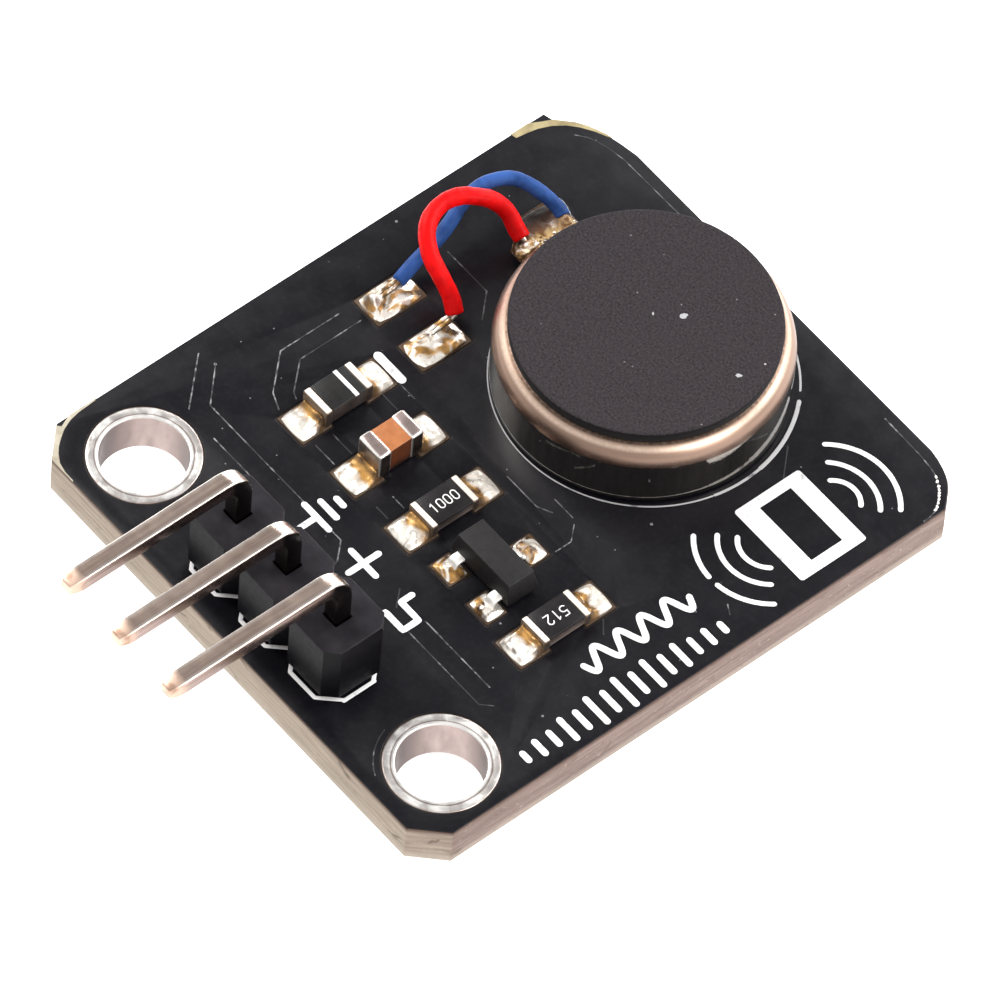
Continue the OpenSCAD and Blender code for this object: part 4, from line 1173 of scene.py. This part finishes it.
def build_transistor():
    """Moulded body with drafted sides, three gull-wing legs and the solder on their pads."""
    low, high = box("transistor_body")
    centre = middle("transistor_body")
    size = (high.x - low.x, high.y - low.y)
    waist = low.z + 0.27
    upper = drafted_block(size, (size[0] - 0.30, size[1] - 0.24), waist - 0.03, high.z, 0.04, centre)
    lower = drafted_block((size[0] - 0.1, size[1] - 0.1), size, low.z, waist + 0.03, 0.04, centre)
    piece("transistor", *join([upper, lower]), TRANSISTOR, "transistor_epoxy", ["transistor_body"])
    half = size[1] / 2
    foot = box("transistor_leads")[0].z + LEG_T / 2
    wing = [(-0.1, waist), (0.16, waist), (0.23, waist - 0.02), (0.29, waist - 0.07), (0.34, foot + 0.10),
            (0.39, foot + 0.03), (0.46, foot), (0.72, foot)]
    parts, fillets = [], []
    for k, (dx, side) in enumerate(((-0.95, -1), (0.95, -1), (0.05, 1))):
        x = centre.x + dx
        path = [(x, centre.y + side * (half + d), z) for d, z in wing]
        parts.append(sweep(path, leg_section, (1, 0, 0)))
        pad_low, pad_high = pad_near(x, centre.y + side * 1.3)

        def height(u, v, low=pad_low, high=pad_high, x=x):
            beside = math.exp(-((low[0] + (high[0] - low[0]) * u - x) / 0.30) ** 2)
            y = low[1] + (high[1] - low[1]) * v
            along = max(0, 1 - abs(abs(y - centre.y) - (half + 0.56)) / 0.62)
            return 0.06 + 0.17 * beside * along

        fillets.append(mound(*grown(pad_low, pad_high, -0.01), height, PAD_TOP, 20 + k, rough=0.13))
    piece("transistor_legs", *join(parts), LEG, "chip_terminal", ["transistor_leads"], angle=50)
    piece("transistor_fillets", *join(fillets), SOLDER, "solder", ["transistor_solder"], angle=60)


# ---------------------------------------------------------------- motor

def build_can():
    """Deep-drawn can: an upright wall, a round shoulder and a flat top with a hole for the shaft."""
    wall, shoulder, hole, lead_in = 0.2, 0.85, 0.42, 0.03
    top, base, r = CAN_TOP, CAN_BASE, CAN_R
    inner = shoulder - wall
    rise = top - base - shoulder - lead_in
    outline = [(r - lead_in, base), (r, base + lead_in)]
    outline += [(r, base + lead_in + rise * k / 10) for k in range(1, 11)]
    outline += [(r - shoulder + shoulder * math.cos(t), top - shoulder + shoulder * math.sin(t))
                for t in (math.pi / 2 * k / 24 for k in range(1, 25))]
    outline += [(hole, top), (hole, top - wall)]
    outline += [(r - shoulder + inner * math.sin(t), top - shoulder + inner * math.cos(t))
                for t in (math.pi / 2 * k / 6 for k in range(7))]
    outline.append((r - wall, base))
    piece("can", *lathe(outline, (MOTOR.x, MOTOR.y), 256), CAN, "can_steel", ["motor_can"], angle=50)


def build_foam():
    """Foam pad: a disc with a soft edge and an uneven, grainy top."""
    low, high = box("motor_foam_pad")
    centre = middle("motor_foam_pad")
    r = half_width("motor_foam_pad")
    rings, steps = 60, 220
    rows = [((r - 0.05) * i / rings, high.z - 0.004) for i in range(1, rings + 1)]
    rows += [(r - 0.02, high.z - 0.02), (r - 0.004, high.z - 0.055), (r, high.z - 0.12),
             (r - 0.012, low.z + 0.06), (r - 0.03, low.z)]
    verts = [(centre.x, centre.y, high.z)]
    for radius, z in rows:
        for k in range(steps):
            turn = 2 * math.pi * k / steps
            dx, dy = radius * math.cos(turn), radius * math.sin(turn)
            x, y = centre.x + dx, centre.y + dy
            grain = waviness(x, y, 6.5, 3) * 0.005 + waviness(x, y, 0.5, 9) * 0.008
            ragged = 0.010 * noise.noise(Vector((8 * math.cos(turn), 8 * math.sin(turn), z * 9)))
            scale = 1 + (ragged / r if radius > r - 0.06 else 0)
            lift = min(grain, 0.004) if z > low.z + 0.1 else 0
            verts.append((centre.x + dx * scale, centre.y + dy * scale, z + lift))
    fan = [(0, 1 + k, 1 + (k + 1) % steps) for k in range(steps)]
    faces = fan + [tuple(1 + i for i in face) for face in quads(len(rows), steps)]
    last = 1 + (len(rows) - 1) * steps
    faces.append(tuple(last + k for k in range(steps - 1, -1, -1)))
    pad = piece("foam_pad", verts, faces, FOAM, "foam", ["motor_foam_pad"], angle=60)


def build_tab():
    """Flexible circuit: the disc under the magnet and the tab that the leads are soldered to."""
    low, high = box("motor_flex_circuit")
    y0, y1 = 14.5, 17.05
    centre, disc_r, hole_r = (MOTOR.x, MOTOR.y), 4.5, 0.87
    reach = MOTOR.x - disc_r + 0.2
    disc = [p for p in arc(centre, disc_r, 184, 510, 120) if p[0] > reach or not y0 < p[1] < y1]
    tab = [(reach + 0.1, y1), (low.x + 0.2, y1), (low.x, y1 - 0.2), (low.x, y0 + 1.1), (low.x + 0.9, y0)]
    flex = plate([[(reach, y0)] + disc + tab, circle(centre, hole_r, 48)], low.z, high.z, 0.02)
    piece("flex_circuit", *flex, AMBER, "flex_film", ["motor_flex_circuit"])


# Each lead: its radius, the route of its insulation, and where its two bare ends stop
LEADS = {
    "red": (0.3, [(-5.58, 11.4, 2.1), (-5.98, 11.54, 2.5), (-6.49, 11.52, 3.05), (-7.16, 11.58, 3.5),
                  (-7.76, 11.9, 3.8), (-8.15, 12.4, 3.9), (-8.33, 13.07, 3.9), (-8.25, 13.74, 3.8),
                  (-7.97, 14.24, 3.65), (-7.69, 14.67, 3.4), (-7.29, 14.98, 2.95), (-6.78, 15.0, 2.5),
                  (-6.47, 15.0, 2.32)], [(-5.62, 10.3, 1.84), (-6.15, 15.0, 2.15)]),
    "blue": (0.25, [(-7.75, 10.78, 2.05), (-7.91, 11.69, 2.3), (-7.98, 12.55, 2.6), (-8.17, 13.32, 2.85),
                    (-8.44, 14.1, 3.05), (-8.52, 14.83, 3.15), (-8.39, 15.35, 3.2), (-8.13, 15.87, 3.15),
                    (-7.75, 16.21, 3), (-7.35, 16.43, 2.8), (-6.94, 16.6, 2.58), (-6.6, 16.68, 2.38),
                    (-6.38, 16.66, 2.28)], [(-7.78, 9.9, 1.84), (-6.05, 16.5, 2.15)]),
}


def strand(start, end, apart, turn):
    """One of the two tinned strands between a lead's insulation and its pad."""
    path = []
    for k in range(21):
        aside = apart * (0.6 + 0.5 * math.sin(math.pi * k / 20))
        path.append(start.lerp(end, k / 20) + Vector((aside, 0, 0.02 * math.sin(turn + k * 0.5))))
    return sweep(path, lambda i, share: circle((0, 0), 0.085 + 0.012 * math.sin(i + turn), 14), (0.3, 0.2, 1))


def build_leads():
    """Insulation of both leads, and their tinned ends at the board and hidden in the glue."""
    for colour, (radius, route, ends) in LEADS.items():
        path = smooth_route(route)
        last = len(path) - 1

        def section(i, share, radius=radius, last=last):
            soft = 0.9 if i in (0, last) else 1
            wide = radius * soft * (1 + 0.02 * math.sin(i * 0.37) + 0.012 * math.sin(i * 1.3))
            return circle((0, 0), wide, 28)

        name, skin = "motor_lead_" + colour, sweep(path, section, (0, 0, 1))
        piece("lead_" + colour, *skin, INSULATION[colour], "insulation_" + colour, [name], angle=70)
        start, end = (Vector(p) for p in ends)
        parts = [strand(path[0], start, apart, turn) for turn, apart in ((0, -0.075), (2.1, 0.07))]
        hidden = [path[-1].lerp(end, k / 8) for k in range(9)]
        parts.append(sweep(hidden, lambda i, share: circle((0, 0), 0.12, 14), (0.3, 0.2, 1)))
        piece("core_" + colour, *join(parts), SOLDER, "tinned_copper", ["lead_core_" + colour], angle=70)


def build_lead_solder():
    """Solder mounds over the two lead pads, swollen where the strands lie in them."""
    parts = []
    for k, colour in enumerate(("blue", "red")):
        route, ends = LEADS[colour][1:]
        end, start = (Vector(p[0][:2]) for p in (ends, route))
        low, high = grown(*pad_near(end.x, 10.35), -0.01)
        a, b = end - Vector((0, 0.1)), start

        def height(u, v, low=low, high=high, a=a, b=b, k=k):
            p = Vector((low[0] + (high[0] - low[0]) * u, low[1] + (high[1] - low[1]) * v))
            t = max(0, min(1, (p - a).dot(b - a) / (b - a).length_squared))
            gap = (p - a.lerp(b, t)).length
            along = 0.13 * math.exp(-(gap / 0.24) ** 2)
            bead = 0.20 * math.exp(-((p - a + Vector((0.0, 0.12))).length / 0.28) ** 2)
            right = 0.16 * math.exp(-((p - Vector((low[0] + 0.98, low[1] + 1.2))).length / 0.34) ** 2)
            return 0.06 + along + bead + right + 0.08 * max(0, waviness(p.x, p.y, 1.5, 30 + k))

        parts.append(mound(low, high, height, PAD_TOP, 31 + k, 44, rough=0.12))
    piece("lead_pad_mounds", *join(parts), SOLDER, "solder", ["lead_pad_solder"], angle=60)


def build_tab_solder():
    """Solder spots along the can, the glue over the tab and its clear edge."""
    z = box("motor_flex_circuit")[1].z
    spots = [((-6.02, 14.66), 0.22), ((-6.12, 15.02), 0.24), ((-6.25, 14.86), 0.12), ((-5.95, 15.35), 0.09),
             ((-6.10, 15.45), 0.05), ((-6.0, 15.62), 0.07), ((-6.22, 15.60), 0.04), ((-5.95, 15.86), 0.09),
             ((-6.08, 16.05), 0.05), ((-5.98, 16.20), 0.07), ((-6.0, 16.68), 0.17)]
    drops = [blob((x, y, z + 0.16 + size * 0.3), (size * 0.85, size * 1.2, size * 0.75), k, 0.3, 14)
             for k, ((x, y), size) in enumerate(spots)]
    piece("tab_joints", *join(drops), SOLDER, "solder", ["tab_solder"], angle=70)

    def cover(u, v):
        red = 0.30 * math.exp(-((v - 0.02) / 0.16) ** 2) * math.exp(-((u - 0.55) / 0.3) ** 2)
        blue = 0.36 * math.exp(-((v - 0.86) / 0.18) ** 2) * math.exp(-((u - 0.60) / 0.3) ** 2)
        return 0.07 + 0.13 * u + red + blue + 0.03 * waviness(3 * u, 3 * v, 1.6, 4)

    sheet = mound((-7.30, 14.95), (-5.35, 16.98), cover, z, 41, 44, rough=0.08, corner=0.35)
    heel = mound((-6.60, 14.55), (-5.3, 15.5), lambda u, v: 0.08 + 0.1 * u, z, 43, 30, rough=0.1, corner=0.5)
    piece("tab_glue", *join([sheet, heel]), GLUE, angle=70)
    route = [(-7.25, 16.97, z + 0.10), (-6.95, 17.0, z + 0.22), (-6.6, 16.98, z + 0.22),
             (-6.2, 16.9, z + 0.10)]

    def bulge(i, share):
        return circle((0, 0), 0.015 + 0.055 * math.sin(math.pi * (0.1 + 0.85 * share)), 12)

    piece("tab_clear_edge", *sweep(smooth_route(route), bulge, (0, 0, 1)), CLEAR, angle=70)


# ---------------------------------------------------------------- materials of the CAD nodes that stay

def dress_cad_nodes():
    """The sealed pieces keep their CAD shapes and get their own materials."""
    steel = metal("shaft_steel", (0.62, 0.62, 0.63), 0.18, 0.3, stretch=(9, 9, 0.8))
    bronze = metal("sintered_bronze", (0.55, 0.38, 0.20), 0.35, 0.5, scale=9, dents=0.02)
    gold = metal("brush_metal", (0.86, 0.66, 0.30), 0.15, 0.28, scale=6, dents=0.006)
    tungsten = metal("tungsten", (0.34, 0.34, 0.36), 0.4, 0.55, scale=8, dents=0.02)
    copper = (0.62, 0.26, 0.10)
    magnet = metal("magnet", (0.40, 0.41, 0.43), 0.3, 0.45, scale=6, dents=0.01)
    finish = {
        "motor_base_plate": metal("base_plate", (0.66, 0.63, 0.60), 0.2, 0.35, scale=5),
        "motor_shaft": steel, "rotor_bearing": bronze, "ring_magnet": magnet,
        "brush_positive": gold, "brush_negative": gold, "commutator_segments": gold,
        "rotor_counterweight": tungsten,
        "rotor_coil_left": wound("coil_copper_left", copper),
        "rotor_coil_right": wound("coil_copper_right", copper),
        "rotor_frame": plastic("rotor_resin", (0.035, 0.10, 0.22), (0.05, 0.14, 0.28), 0.45),
        "commutator_disc": plastic("commutator_laminate", (0.02, 0.12, 0.05), (0.03, 0.17, 0.07), 0.35),
        "thrust_washer_lower": plastic("washer_lower", (0.05, 0.16, 0.07), (0.07, 0.20, 0.09), 0.3),
        "thrust_washer_upper": plastic("washer_upper", (0.05, 0.16, 0.07), (0.07, 0.20, 0.09), 0.3),
        "motor_adhesive_disc": plastic("adhesive", (0.42, 0.38, 0.28), (0.55, 0.50, 0.38), 0.5),
    }
    for node, material in finish.items():
        mesh = NODES[node].data
        mesh.materials.clear()
        mesh.materials.append(material)


# ---------------------------------------------------------------- studio

def build_floor():
    """Pale floor that touches the pin tails and the back edge of the board, so it leans by 3 degrees."""
    front = Vector((0, HEADER_Y + 0.4, PIN_LOW.z - 0.003))
    back = Vector((0, BOARD_HIGH.y, -MASK_T - 0.003))
    along = (back - front).normalized()
    reach = 2500
    right = Vector((1, 0, 0))
    corners = [front + right * reach * a + along * reach * b for a, b in ((-1, -1), (1, -1), (1, 1), (-1, 1))]
    mesh = bpy.data.meshes.new("floor")
    mesh.from_pydata([tuple(c * MM) for c in corners], [], [(0, 1, 2, 3)])
    floor = show(bpy.data.objects.new("floor", mesh))
    s = Shader("floor_paper", roughness=0.9, emission_color=(1.0, 1.0, 1.0), emission_strength=0.85)
    mesh.materials.append(s.finish((0.82, 0.82, 0.82), None, s.bump(s.noise(0.05, 2), 0.01, 0.2)))


def area_light(name, place, size, power, colour=(1, 1, 1)):
    data = bpy.data.lights.new(name, "AREA")
    data.shape = "RECTANGLE"
    data.size, data.size_y = size[0] * MM, size[1] * MM
    data.energy = power
    data.color = colour
    light = show(bpy.data.objects.new(name, data))
    light.location = Vector(place) * MM
    aim = Vector((0, 9, 2)) * MM
    light.rotation_euler = (aim - light.location).to_track_quat("-Z", "Y").to_euler()


# The camera's direction in degrees, with its distance and the point it looks at
VIEW_AZIMUTH, VIEW_ELEVATION, VIEW_ROLL = 46.22, 54.87, 5.15
VIEW_DISTANCE = 509.5
VIEW_TARGET = Vector((-0.01, 8.86, 0))
LENS = 561.8


def view_axes():
    """The camera's right, upward and backward directions."""
    a, e, r = (math.radians(v) for v in (VIEW_AZIMUTH, VIEW_ELEVATION, VIEW_ROLL))
    back = Vector((math.sin(a) * math.cos(e), -math.cos(a) * math.cos(e), math.sin(e)))
    right = Vector((math.cos(a), math.sin(a), 0))
    up = back.cross(right)
    return right * math.cos(r) + up * math.sin(r), up * math.cos(r) - right * math.sin(r), back


def build_camera():
    right, up, back = view_axes()
    data = bpy.data.cameras.new("camera")
    data.lens = LENS
    data.sensor_width = 36
    data.clip_start, data.clip_end = 0.02, 20
    camera = show(bpy.data.objects.new("camera", data))
    turned = Matrix((right, up, back)).transposed().to_4x4()
    camera.matrix_world = Matrix.Translation((VIEW_TARGET + back * VIEW_DISTANCE) * MM) @ turned
    bpy.context.scene.camera = camera
    settings = bpy.context.scene.view_settings
    settings.view_transform = "Standard"
    settings.look = "None"


def build_world():
    """Soft light from all round. The lamps stand round the table, and the ceiling over it is dim."""
    world = bpy.data.worlds.new("studio")
    bpy.context.scene.world = world
    world.use_nodes = True
    tree = world.node_tree
    background = tree.nodes["Background"]
    overhead = tree.nodes.new("ShaderNodeVectorMath")
    overhead.operation = "DOT_PRODUCT"
    tree.links.new(tree.nodes.new("ShaderNodeTexCoord").outputs["Generated"], overhead.inputs[0])
    overhead.inputs[1].default_value = Vector((-0.42, 0.40, 0.82)).normalized()
    dim = tree.nodes.new("ShaderNodeMapRange")
    dim.interpolation_type = "SMOOTHSTEP"
    tree.links.new(overhead.outputs["Value"], dim.inputs["Value"])
    for key, value in (("From Min", 0.62), ("From Max", 0.93), ("To Min", 0.95), ("To Max", 0.30)):
        dim.inputs[key].default_value = value
    tree.links.new(dim.outputs["Result"], background.inputs["Strength"])
    background.inputs["Color"].default_value = (1, 1, 1, 1)


def build_lamps():
    area_light("lamp_left", (-380, -40, 330), (260, 260), 2.2, (1.0, 0.98, 0.96))
    area_light("lamp_back", (120, 420, 300), (300, 200), 2.2)
    area_light("lamp_far_left", (-230, 430, 200), (200, 120), 1.0)
    area_light("lamp_right", (430, 60, 260), (240, 240), 1.35, (1.0, 0.97, 0.94))


build_camera()
build_world()
build_lamps()
build_floor()
build_board()
build_pads()
build_plated_holes()
build_milled_corners()
build_print()
build_tracks()
build_under_tracks()
build_header()
build_pins()
build_tail_solder()
build_diode()
build_chip("capacitor", CERAMIC, "capacitor_ceramic", 0.55, 4, CAP_TERMINAL, 0.13)
build_resistor("series_resistor", "1000", (0, 1), 0.265, 7)
build_resistor("base_resistor", "512", (0, -1), 0.28, 10)
build_transistor()
build_can()
build_foam()
build_tab()
build_leads()
build_lead_solder()
build_tab_solder()
dress_cad_nodes()
